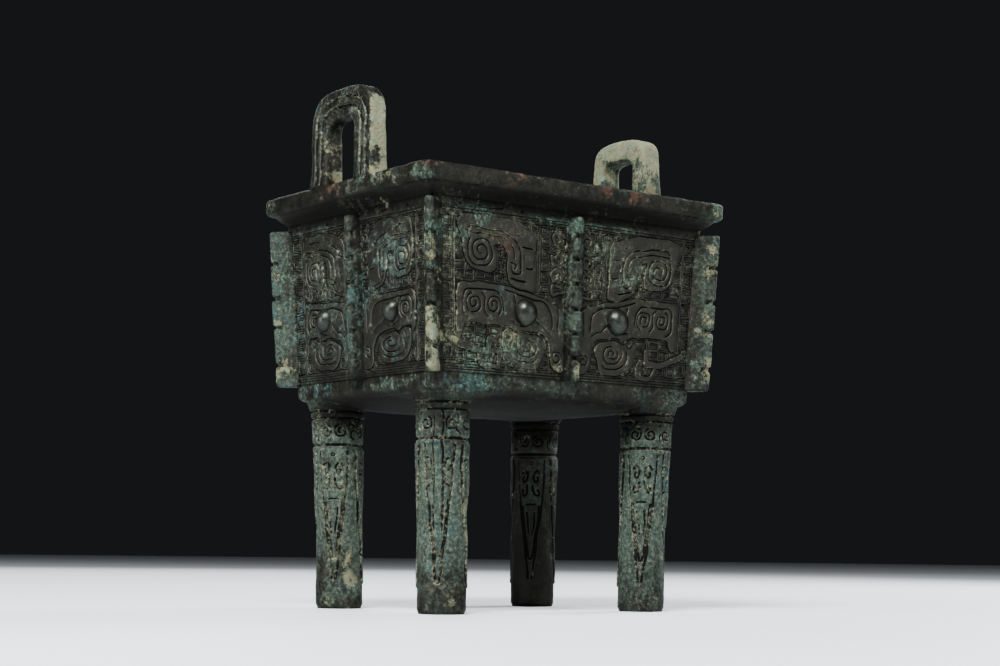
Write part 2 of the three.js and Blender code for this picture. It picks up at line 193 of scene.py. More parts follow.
def gap_to(points, pieces, less=None):
    """How far each point is from the nearest piece, less that piece's own half width."""
    starts, ends = pieces
    along = ends - starts
    length = np.maximum(np.sum(along * along, 1), 1e-12)
    gap = np.empty(len(points))
    block = max(1, 400000 // len(starts))
    for i in range(0, len(points), block):
        off = points[i : i + block, None, :] - starts
        share = np.clip(np.sum(off * along, 2) / length, 0, 1)
        away = np.linalg.norm(off - share[..., None] * along, axis=2)
        gap[i : i + block] = (away if less is None else away - less).min(1)
    return gap


def gap_to_bands(points, bands):
    """How far each point is from the side of the nearest band; less than zero inside it."""
    half = np.concatenate([np.full(len(line) - 1, half) for line, half in bands])
    return gap_to(points, strokes([line for line, half in bands]), half)


def inside(points, outline):
    """Which points lie inside a closed outline."""
    hit = np.zeros(len(points), bool)
    for (x0, y0), (x1, y1) in zip(outline, np.roll(outline, -1, 0)):
        if y0 == y1:
            continue
        crosses = (points[:, 1] > min(y0, y1)) & (points[:, 1] <= max(y0, y1))
        hit ^= crosses & (points[:, 0] < x0 + (points[:, 1] - y0) * (x1 - x0) / (y1 - y0))
    return hit


def rounded(gap, radius):
    """How far a rounded edge drops, at a distance in from it."""
    return radius - np.sqrt(np.maximum(radius**2 - np.maximum(radius - gap, 0) ** 2, 0))


def waves(points, size, seed):
    """Smooth unevenness of about one unit, with hollows about a size across."""
    chance = np.random.default_rng(seed)
    points = np.asarray(points)
    total = np.zeros(len(points))
    for _ in range(9):
        way = chance.normal(size=points.shape[1])
        way *= 2 * math.pi / size * chance.uniform(0.6, 1.5) / np.linalg.norm(way)
        total += np.sin(points @ way + chance.uniform(0, 2 * math.pi))
    return total / 3


def drift(corners, size, seed):
    """The same unevenness in all three directions."""
    return np.column_stack([waves(corners, size, seed + way) for way in range(3)])


# Cast relief

# Distances in from the edge of a rounded plate at which it bends
ROUNDING = (0.12, 0.4, 0.9, 1.6)


class Relief:
    """A flat stretch of cast relief in millimetres: raised plates, cut lines and ground scrolls."""

    # Distances inside a plate's edge where the surface bends, and the heights there as shares
    # of the plate's height (above zero) and of the channel around it (below zero)
    EDGE = ((-0.75, 0.0), (-0.5, -1.0), (-0.12, -1.0), (0.08, 0.88), (0.34, 1.0))
    # Distances from a cut's side, and the share of its depth there
    CUT = ((-0.2, 1.0), (0.0, 0.16), (0.2, 0.0))
    # Distances from a scroll's middle, and the share of its depth there
    SCROLL = ((0.11, 1.0), (0.27, 0.0))
    # How far outside a plate its edge still counts, how far a line may stray from the level it is
    # drawn for, and how far the corners scattered between lines keep from them
    REACH, STRAY, SPARE = 2.5, 0.08, 0.5
    # How far the ground's rules and scrolls keep from the plates, the scrolls from the rules, and
    # both from the border
    RULE_ROOM, SCROLL_ROOM, RULE_GAP, BORDER = 0.95, 0.85, 0.8, 0.3

    def __init__(self, low, high, plate, channel, cut_depth, scroll_depth, grain=1.7,
                 cuts_ground=False, outline=None):
        self.low, self.high = np.array(low, float), np.array(high, float)
        self.plate, self.channel = plate, channel
        self.cut_depth, self.scroll_depth = cut_depth, scroll_depth
        self.grain, self.cuts_ground, self.outline = grain, cuts_ground, outline
        self.plates, self.bands, self.cuts, self.rules, self.scrolls = [], [], [], [], []

    def add_plate(self, points):
        """A raised plate with a smooth outline."""
        outline = smooth(points, closed=True)
        turn = np.roll(outline, -1, 0)
        if np.sum(outline[:, 0] * turn[:, 1] - turn[:, 0] * outline[:, 1]) < 0:
            outline = outline[::-1]
        self.plates.append(outline)

    def add_band(self, line, width):
        """A raised band along a line."""
        self.bands.append((np.asarray(line, float), width / 2))

    def add_cut(self, line, width):
        """A line cut into the plates."""
        self.cuts.append((np.asarray(line, float), width / 2))

    def add_rule(self, line):
        """A long fine line of the ground that scrolls keep clear of."""
        self.rules.append(np.asarray(line, float))

    def add_scrolls(self, low, high, columns, rows, pitch, margin=0.55):
        """A field of squared scrolls on the ground, in columns and rows."""
        cell = (np.array(high, float) - low) / (columns, rows)
        for i in range(columns):
            for j in range(rows):
                corner = np.array(low) + cell * (i, j)
                self.scrolls.append(
                    fret(corner + margin, corner + cell - margin, pitch, j % 2 == 1, (i + j) % 2 == 1)
                )

    def plate_depth(self, points):
        """How far each point lies inside the raised shapes; less than zero outside them."""
        depth = np.full(len(points), -1e3)
        for outline in self.plates:
            low, high = outline.min(0) - self.REACH, outline.max(0) + self.REACH
            near = np.all((points > low) & (points < high), axis=1)
            if near.any():
                gap = gap_to(points[near], strokes([outline], True))
                gap = np.where(inside(points[near], outline), gap, -gap)
                depth[near] = np.maximum(depth[near], gap)
        if self.bands:
            depth = np.maximum(depth, -gap_to_bands(points, self.bands))
        return depth

    def cut_gap(self, points):
        """How far each point lies from the side of the nearest cut; less than zero inside it."""
        if not self.cuts:
            return np.full(len(points), 1e3)
        return gap_to_bands(points, self.cuts)

    def heights(self, points):
        """Each point's height, and how deep it lies in a cut line, from nought to one."""
        depth = self.plate_depth(points)
        shares = np.interp(depth, *zip(*self.EDGE))
        height = np.where(shares > 0, shares * self.plate, shares * self.channel)
        cut = np.interp(self.cut_gap(points), *zip(*self.CUT))
        cut = cut if self.cuts_ground else np.where(depth > 0, cut, 0)
        height -= cut * self.cut_depth
        hollow = np.maximum(cut, -np.minimum(shares, 0) if self.channel else 0)
        if self.kept:
            gap = gap_to(points, strokes(self.kept))
            fine = np.where(depth < -0.6, np.interp(gap, *zip(*self.SCROLL)), 0)
            height -= fine * self.scroll_depth
            hollow = np.maximum(hollow, fine)
        return height, hollow

    def keep_clear(self, lines, room, from_rules):
        """The stretches of fine lines that keep clear of the plates and the border."""
        if not lines:
            return []
        kept, dense = [], []
        for line in lines:
            spans = [
                a + (b - a) * np.linspace(0, 1, max(2, int(np.linalg.norm(b - a) / 0.2)))[:, None]
                for a, b in zip(line[:-1], line[1:])
            ]
            dense.append(np.vstack(spans))
        points = np.vstack(dense)
        good = self.plate_depth(points) < -room
        low, high = self.low + self.BORDER, self.high - self.BORDER
        good &= np.all((points > low) & (points < high), axis=1)
        if from_rules and self.ruled:
            good &= gap_to(points, strokes(self.ruled)) > self.RULE_GAP
        at = 0
        for line in dense:
            flags = good[at : at + len(line)]
            at += len(line)
            edges = np.flatnonzero(np.diff(np.concatenate([[0], flags.astype(int), [0]])))
            for first, last in zip(edges[::2], edges[1::2]):
                run = line[first:last]
                far = np.linalg.norm(np.diff(run, axis=0), axis=1) > 0.01
                run = run[np.concatenate([[True], far])]
                if len(run) < 6:
                    continue
                u = unit(np.diff(run, axis=0))
                bend = np.abs(u[:-1, 0] * u[1:, 1] - u[:-1, 1] * u[1:, 0]) > 1e-5
                corners = np.concatenate([[0], np.flatnonzero(bend) + 1, [len(run) - 1]])
                kept.append(run[corners])
        return kept

    def mesh(self):
        """Flat corners, their heights and hollows, and triangles that follow the drawn lines."""
        self.ruled = self.keep_clear(self.rules, self.RULE_ROOM, False)
        self.kept = self.ruled + self.keep_clear(self.scrolls, self.SCROLL_ROOM, True)
        points, edges = [], []

        def draw(line, closed, good=None):
            line = np.clip(line, self.low, self.high)
            start = len(points)
            points.extend(line.tolist())
            for i in range(len(line) - (0 if closed else 1)):
                j = (i + 1) % len(line)
                if good is None or (good[i] and good[j]):
                    edges.append((start + i, start + j))

        for level, _ in self.EDGE:
            for outline in self.plates:
                line = beside(outline, level, closed=True)
                draw(line, True, np.abs(self.plate_depth(line) - level) < self.STRAY)
            for band, half in self.bands:
                if half > level:
                    line = around(band, half - level)
                    draw(line, True, np.abs(self.plate_depth(line) - level) < self.STRAY)
        for line, half in self.cuts:
            for gap, _ in self.CUT:
                for side in (-1, 1) if half + gap > 0.04 else (1,):
                    wide = max(half + gap, 0)
                    drawn = beside(line, side * wide)
                    good = np.abs(self.cut_gap(drawn) - (wide - half)) < self.STRAY
                    if not self.cuts_ground:
                        good &= self.plate_depth(drawn) > -0.12
                    draw(drawn, False, good)
        for line in self.kept:
            for wide, _ in self.SCROLL:
                draw(np.vstack([beside(line, wide), beside(line, -wide)[::-1]]), True)
        if self.outline is not None:
            for level in ROUNDING:
                line = beside(self.outline, level, closed=True)
                gap = gap_to(line, strokes([self.outline], True))
                draw(line, True, np.abs(gap - level) < self.STRAY)
        self.fill(points, edges)
        made = delaunay_2d_cdt([Vector(p) for p in points], edges, [], 0, 1e-4, False)
        flat, triangles = np.array([tuple(v) for v in made[0]]), np.array(made[2])
        if self.outline is not None:
            triangles = triangles[inside(flat[triangles].mean(1), self.outline)]
        return (flat, *self.heights(flat), triangles)

    def fill(self, points, edges):
        """Adds the border and an even scatter of corners where nothing is drawn."""
        columns, rows = np.maximum(2, ((self.high - self.low) / self.grain).astype(int))
        xs = np.linspace(self.low[0], self.high[0], columns + 1)
        ys = np.linspace(self.low[1], self.high[1], rows + 1)
        border = [(x, ys[0]) for x in xs[:-1]] + [(xs[-1], y) for y in ys[:-1]]
        border += [(x, ys[-1]) for x in xs[:0:-1]] + [(xs[0], y) for y in ys[:0:-1]]
        if self.outline is not None:
            border = self.outline.tolist()
        drawn = np.array(points)
        start = len(points)
        points.extend(border)
        grid = np.stack(np.meshgrid(xs[1:-1], ys[1:-1]), -1).reshape(-1, 2)
        if self.outline is not None:
            grid = grid[inside(grid, self.outline)]
        ends = np.array(edges)
        grid = grid[gap_to(grid, (drawn[ends[:, 0]], drawn[ends[:, 1]])) > self.SPARE]
        edges.extend((start + i, start + (i + 1) % len(border)) for i in range(len(border)))
        points.extend(grid.tolist())


def around(line, wide):
    """The outline of a band with round ends."""

    def cap(point, along):
        u = along / np.linalg.norm(along)
        n = np.array([-u[1], u[0]])
        turns = np.radians([60, 30, 0, -30, -60])
        return [point + wide * (u * math.cos(t) + n * math.sin(t)) for t in turns]

    left, right = beside(line, wide), beside(line, -wide)
    return np.vstack([left, cap(line[-1], line[-1] - line[-2]), right[::-1],
                      cap(line[0], line[0] - line[1])])


# Half of each wall's mask, as (away from the wall's middle, up from the panel's foot): outlines of
# plates, bands and cuts with their widths, coils as centre, outer and inner radius, turns, start
# and width, rules, fields of scrolls as low and high corner, columns and rows, and the eye's place
LONG_MASK = {
    "plates": [
        # Horn
        [(20.3, 36), (20.2, 47), (20.6, 58.5), (24, 61), (28, 63), (33, 64.4), (40, 64.8),
         (52, 64.8), (58, 63.8), (59.3, 60.5), (58.2, 56), (57.2, 52), (56.6, 49), (55, 45.5),
         (52, 43.2), (48, 42), (43, 42), (40.3, 43.2), (40, 46), (40.6, 50), (41.5, 52.5),
         (40, 53.8), (37.2, 53.3), (35.2, 51), (34.6, 47), (34.2, 42), (33.2, 38.8),
         (30, 37.2), (25, 36)],
        # Brow, ear, cheek and nose
        [(60, 17), (60.1, 25), (60, 33.5), (58, 36.3), (54, 37), (45, 37), (35, 36.8),
         (28, 35.6), (20, 34), (13, 32.3), (8, 30.7), (5, 28.5), (4, 25), (3.8, 12),
         (3.9, 5), (5, 2.9), (8.5, 3.5), (10.5, 6), (10.8, 10), (11.3, 13.5), (12.5, 15.8),
         (15.5, 17.9), (20, 18.9), (26, 19.5), (29.5, 18.7), (31.5, 19.3), (33.5, 20.4),
         (36, 20.7), (52, 20.6), (55.8, 20.5), (57, 17.6), (58.4, 15.6)],
        # Jaw
        [(33.8, 19.1), (36.1, 18), (36.5, 15), (36.3, 12), (35, 8), (32, 5), (28, 3.6),
         (22, 3.3), (18, 3.8), (16.2, 6.2), (15.2, 9.5), (13.9, 12.2), (14.4, 15),
         (17, 16.7), (20, 17.4), (26, 17.9), (29.4, 17.2), (31.4, 17.6)],
    ],
    "bands": [
        # Claw under the cheek
        ([(64.6, 14.2), (61, 12.2), (56, 10.6), (50, 9.4), (46, 9.6), (43.5, 9.2)], 2.5),
        ([(43.6, 9.6), (43.5, 14.6)], 2.2),
        ([(49, 9.2), (48.6, 5.6), (46, 3.3), (41, 3.2), (38.6, 3.6), (38.7, 8.6), (41.2, 10)], 1.7),
        # Curls of the brow between the horns
        (("coil", (8.0, 50.6), 3.3, 1.2, 1.1, 20), 1.2),
        (("coil", (8.6, 43.2), 3.0, 1.1, 1.1, 200), 1.2),
        (("coil", (7.9, 58.8), 3.2, 1.1, 1.1, 160), 1.2),
        ([(5.0, 36.0), (10.8, 35.4), (11.0, 38.8), (7.0, 39.2)], 1.2),
    ],
    "cuts": [
        ([(53.8, 59.2), (52.5, 60), (47, 59.7), (42, 59.4), (36.5, 58.6), (32, 57), (29.2, 54.6),
          (27.9, 51), (27.6, 46), (27.7, 42.5), (30, 41.8), (31.8, 42.8), (32, 44.5)], 0.9),
        ([(53.2, 57.3), (45, 57.2), (40, 56.8), (35.5, 55.8), (32.5, 54), (31, 51.5),
          (30.8, 48.8)], 0.8),
        ([(32.5, 46.9), (30.5, 46.3), (29.5, 45.2), (30.2, 44.2)], 0.7),
        ([(26.5, 53.7), (24, 53.3), (21.7, 53.5)], 0.9),
        ([(24.8, 45.1), (23, 44.7), (21.3, 44.9)], 0.9),
        ([(32.3, 40.4), (28.6, 39.5), (25.4, 38.9)], 1.0),
        ([(26.2, 50), (25.8, 48.6)], 0.7),
        ([(29.8, 59), (28.4, 58.6)], 0.7),
        # Brow's lower edge and the eye's corners
        ([(35, 35), (30, 33.8), (25, 33), (20, 32), (15, 31.2), (12.2, 29.5), (11, 27),
          (10.5, 24), (10.3, 21.4)], 0.9),
        ([(36.2, 26.5), (36.6, 30.5), (38.2, 33.2), (41, 34.4), (48, 34.5), (54.6, 34.4),
          (56.7, 32.4), (57, 29), (56.9, 24.5), (54.4, 22.3)], 0.9),
        ([(47.4, 33.0), (45.8, 31.4), (46, 28.6), (46.3, 26), (45.0, 24.0)], 0.8),
        ([(31.2, 32.4), (30.4, 30), (29.4, 27.2)], 0.7),
        ([(31.6, 22.4), (29.4, 21.6), (26.5, 20.9)], 0.7),
        ([(19.6, 24), (17, 21.6), (14, 20.7), (11.6, 19.2)], 0.7),
        ([(7.2, 29), (7.1, 24.6), (7.2, 19.6)], 0.7),
        # Jaw
        ([(31.8, 14), (32.6, 11), (31.5, 8.5), (29, 6.7), (25, 6), (20.5, 6.2), (18.6, 7.4)], 0.8),
        ([(29.1, 13.5), (28.7, 11), (27, 9), (24, 8.2), (21, 8.5), (18.9, 10.5), (18.5, 12.6),
          (20, 14.8), (23.4, 15.6)], 0.8),
        ([(26.6, 14.2), (27, 12.4), (25.6, 10.6), (23.6, 10.4), (21.6, 11.4), (21.4, 13.0),
          (23.2, 13.8), (24.6, 12.8), (23.8, 12.1)], 0.7),
        ([(34.6, 16.4), (33.2, 15.5), (32.2, 16.6), (33.3, 17.6)], 0.7),
    ],
    "coils": [
        ((47.9, 50.2), 6.9, 1.2, 2.3, 35, 0.9),
        ((51.2, 28.4), 4.3, 0.9, 1.7, 60, 0.8),
        ((41.3, 28.4), 4.3, 0.9, 1.7, 240, 0.8),
        ((7.2, 8.4), 3.0, 0.9, 1.3, 190, 0.7),
    ],
    "rules": [
        [(18.6, 36), (18.6, 60.6)], [(17.6, 36), (17.6, 61)],
        [(36.6, 12), (36.2, 7.6), (33.6, 4.2), (29.4, 2.2)],
        [(60.6, 37.6), (35, 37.9)], [(60.9, 3.9), (60.9, 11)], [(61.6, 16.6), (61.6, 64.6)],
    ],
    "scrolls": [
        ((62.0, 16.6), (68.6, 64.6), 1, 7), ((61.0, 3.8), (68.6, 11.8), 1, 1),
        ((35.4, 37.9), (61.2, 42.0), 5, 1), ((35.2, 42.2), (39.8, 53.0), 1, 2),
        ((12.0, 34.4), (17.2, 64.6), 1, 6), ((3.4, 33.4), (12.0, 64.6), 2, 6),
        ((37.2, 11.0), (57.6, 20.2), 3, 2), ((50.0, 3.6), (60.6, 9.2), 2, 1),
        ((56.0, 40.4), (61.4, 64.6), 1, 5), ((11.4, 3.6), (16.4, 15.6), 1, 3),
        ((36.8, 3.6), (41.0, 12.0), 1, 2), ((52, 9), (61, 16), 2, 1),
        ((17.4, 58.8), (24.0, 64.8), 1, 1),
    ],
    "eye": 25.2,
}

SHORT_MASK = {
    "plates": [
        [(9.2, 36.4), (9.1, 47), (9.3, 57), (13, 61), (18, 63.2), (26, 64.4), (36, 64.4),
         (40, 62.9), (41.2, 58.4), (41.2, 50), (40.4, 44), (38, 40.8), (33, 39.8), (29, 40.4),
         (27, 43), (26.4, 47), (27, 50.3), (25.8, 52.1), (23.5, 51.2), (22.4, 48.5),
         (22.2, 44), (21, 40), (18, 37.4), (14, 36.6)],
        [(42.6, 18), (42.8, 25), (42.8, 30.5), (41, 33.2), (37, 33.9), (30, 33.9), (22, 33.9),
         (12, 32.8), (7, 30.8), (5, 28), (4.2, 25), (4, 12), (4, 4.6), (6, 3.5), (9, 4.3),
         (11, 7), (11.3, 11), (12.4, 14.5), (15, 17.1), (20, 18.4), (26, 18.8), (30, 18.1),
         (33, 19.4), (37, 19.7), (40.4, 19.5), (41.3, 17.6)],
        [(36.5, 18.4), (39.2, 17.6), (39.6, 14.5), (38.6, 9.5), (35, 6.2), (30, 5.1), (23, 5),
         (18.5, 5.8), (16.4, 8), (15.2, 11.4), (15.2, 14.4), (18, 16.2), (22, 17.1),
         (27, 17.3), (31, 16.5), (33.4, 17.4)],
    ],
    "bands": [
        (("coil", (6.5, 50.2), 2.2, 0.9, 1.0, 20), 1.1),
        (("coil", (6.5, 42.6), 2.2, 0.9, 1.0, 200), 1.1),
        (("coil", (6.6, 58.2), 2.2, 0.9, 1.0, 160), 1.1),
    ],
    "cuts": [
        ([(39.4, 57.4), (32, 57.4), (25, 57), (19, 55), (17.2, 52), (17, 47), (17.1, 43.6),
          (18.4, 41), (20.2, 41.6)], 0.9),
        ([(38.4, 55.3), (33, 55.5), (28, 55), (23, 54), (20.6, 52), (20, 48.4), (20, 45.4)], 0.8),
        ([(20.6, 43.6), (18.9, 43.2), (18.3, 42)], 0.7),
        ([(14.5, 56), (18, 58.2), (22, 59.5)], 0.9),
        ([(28.4, 60.4), (32.4, 61.6), (37, 61.4)], 0.8),
        ([(10.3, 52.7), (12.4, 52.9), (14.7, 53.6)], 0.9),
        ([(9.8, 45), (11.6, 44.8), (13.2, 45.1)], 0.9),
        ([(12.5, 37.9), (16, 38.0), (19.2, 39.4)], 0.8),
        ([(33, 31.8), (26, 31.4), (18, 31), (13, 29.6), (11.2, 26.6), (10.8, 23.6),
          (10.7, 21.2)], 0.9),
        ([(30.6, 24.4), (30.6, 29), (32.4, 31.2), (36, 31.8), (39.4, 31), (40.6, 28),
          (40.5, 24), (39.4, 21.8)], 0.9),
        ([(30.8, 21.8), (28.6, 20.7), (26.4, 20.2)], 0.7),
        ([(20.4, 23.4), (17.4, 21.2), (14, 20.0), (11.8, 18.4)], 0.7),
        ([(7.2, 29), (7.1, 24.6), (7.2, 19.6)], 0.7),
        ([(34.6, 13), (35, 10.4), (32.6, 8.2), (28, 7.4), (23, 7.4), (19.4, 8.4)], 0.8),
        ([(31.4, 13.6), (31.4, 11.6), (29, 9.8), (25, 9.4), (21.4, 9.8), (19, 11.6),
          (18.8, 13.4), (20.8, 15.2), (24.6, 15.6)], 0.8),
        ([(28.4, 13.8), (28, 12.2), (25.6, 11.5), (23, 11.8), (22, 13), (23.4, 14), (25.4, 13.5)],
         0.7),
        ([(37.6, 16), (36.2, 15.1), (35.2, 16.1), (36.4, 17.1)], 0.7),
    ],
    "coils": [
        ((33.9, 48.0), 6.2, 1.2, 2.2, 35, 0.9),
        ((35.6, 26.6), 3.7, 0.9, 1.8, 240, 0.8),
        ((6.9, 9.8), 2.9, 0.9, 1.3, 190, 0.7),
    ],
    "rules": [
        [(39.8, 13), (38.6, 8.2), (35, 5.0), (30, 3.9)],
        [(43.7, 4), (43.7, 64.6)], [(22.4, 35.1), (42.6, 35.1)],
    ],
    "scrolls": [
        ((44.0, 4.0), (52.2, 64.6), 1, 9), ((22.2, 35.2), (43.6, 40.2), 4, 1),
        ((3.4, 33.4), (9.0, 64.6), 1, 6), ((22.4, 40.2), (27.2, 51.0), 1, 2),
        ((38.6, 36.8), (43.6, 64.6), 1, 5), ((11.0, 3.8), (16.4, 15.6), 1, 2),
        ((37.4, 3.8), (43.6, 18.0), 1, 2), ((9, 60), (16, 64.6), 1, 1),
        ((16.6, 3.6), (37, 5.4), 3, 1),
    ],
    "eye": 26.3,
}

EYE_HEIGHT = 26.4
# Heights of the lines that frame the panel, the size of the scrolls that fill what is left, and
# how far the relief stops short of the walls' corners
FRAME_LINES = (1.0, 2.1, 3.2, 65.4, 66.6)
FILL_SCROLL = 4.4
WALL_MARGIN = 1.4


def wall_relief(mask, across, settings):
    """Half a wall's relief, from its middle to its corner."""
    relief = Relief(
        (0, 0), (across, PANEL_HEIGHT + NECK),
        settings.plate_height / MM, settings.channel_depth / MM,
        settings.cut_depth / MM, settings.scroll_depth / MM,
    )
    for outline in mask["plates"]:
        relief.add_plate(outline)
    for line, width in mask["bands"]:
        relief.add_band(coil(*line[1:]) if line[0] == "coil" else smooth(line), width)
    for line, width in mask["cuts"]:
        relief.add_cut(smooth(line), width)
    for centre, outer, inner, turns, start, width in mask["coils"]:
        relief.add_cut(coil(centre, outer, inner, turns, start), width)
    for up in FRAME_LINES:
        relief.add_rule([(0.4, up), (across - 0.4, up)])
    for line in mask["rules"]:
        relief.add_rule(smooth(line, step=1.2))
    pitch = settings.scroll_pitch / MM
    for field in mask["scrolls"]:
        relief.add_scrolls(*field, pitch)
    whole = np.array((across, PANEL_HEIGHT))
    count = (whole / FILL_SCROLL).astype(int)
    cell = whole / count
    for i, j in np.ndindex(*count):
        low = cell * (i, j)
        middle = low + cell / 2
        taken = any(
            x0 < middle[0] < x1 and y0 < middle[1] < y1
            for (x0, y0), (x1, y1), *_ in mask["scrolls"]
        )
        if not taken and relief.plate_depth(middle[None])[0] < -0.5:
            relief.add_scrolls(low, low + cell, 1, 1, pitch * 0.9, margin=0.3)
    return relief


# Pieces


def place(name, data):
    """A new object in the scene."""
    made = bpy.data.objects.new(name, data)
    bpy.context.scene.collection.objects.link(made)
    return made


def make_piece(name, corners, faces, material, top=0.5, hollow=0.0):
    """A closed piece from corners in millimetres, with the marks that its patina reads."""
    corners = np.asarray(corners, float)
    mesh = bpy.data.meshes.new(name)
    mesh.from_pydata((corners * MM).tolist(), [], [list(map(int, f)) for f in faces])
    mesh.validate()
    mesh.shade_smooth()
    mesh.materials.append(material)
    piece = place(name, mesh)
    weather(piece, corners, top, hollow)
    return piece


def mark(piece, name, values):
    """Gives a piece's corners a named value each, in place of any they had."""
    layers = piece.data.attributes
    if name in layers:
        layers.remove(layers[name])
    layer = layers.new(name, "FLOAT", "POINT")
    values = np.broadcast_to(np.asarray(values, np.float32), (len(piece.data.vertices),))
    layer.data.foreach_set("value", np.ascontiguousarray(values))


def stain(piece, corners):
    """Marks how strongly each kind of stain's spots, ovals with a strength, reach the corners."""
    for name, spots in STAINS.items():
        amount = np.zeros(len(corners))
        for x, y, z, *size, strength in spots:
            away = np.linalg.norm((corners - (x, y, z)) / size, axis=1)
            amount = np.maximum(amount, strength * np.clip(1.6 - away, 0, 1))
        mark(piece, name, amount)


def weather(piece, corners, top=0.5, hollow=0.0):
    """Gives a piece every mark that its patina reads."""
    mark(piece, "top", top)
    mark(piece, "hollow", hollow)
    stain(piece, corners)


def hand_in(piece):
    """Lets a piece stand in for the casting, as bronze that rides on the root body."""
    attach(piece, "root")
    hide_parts(CASTING)


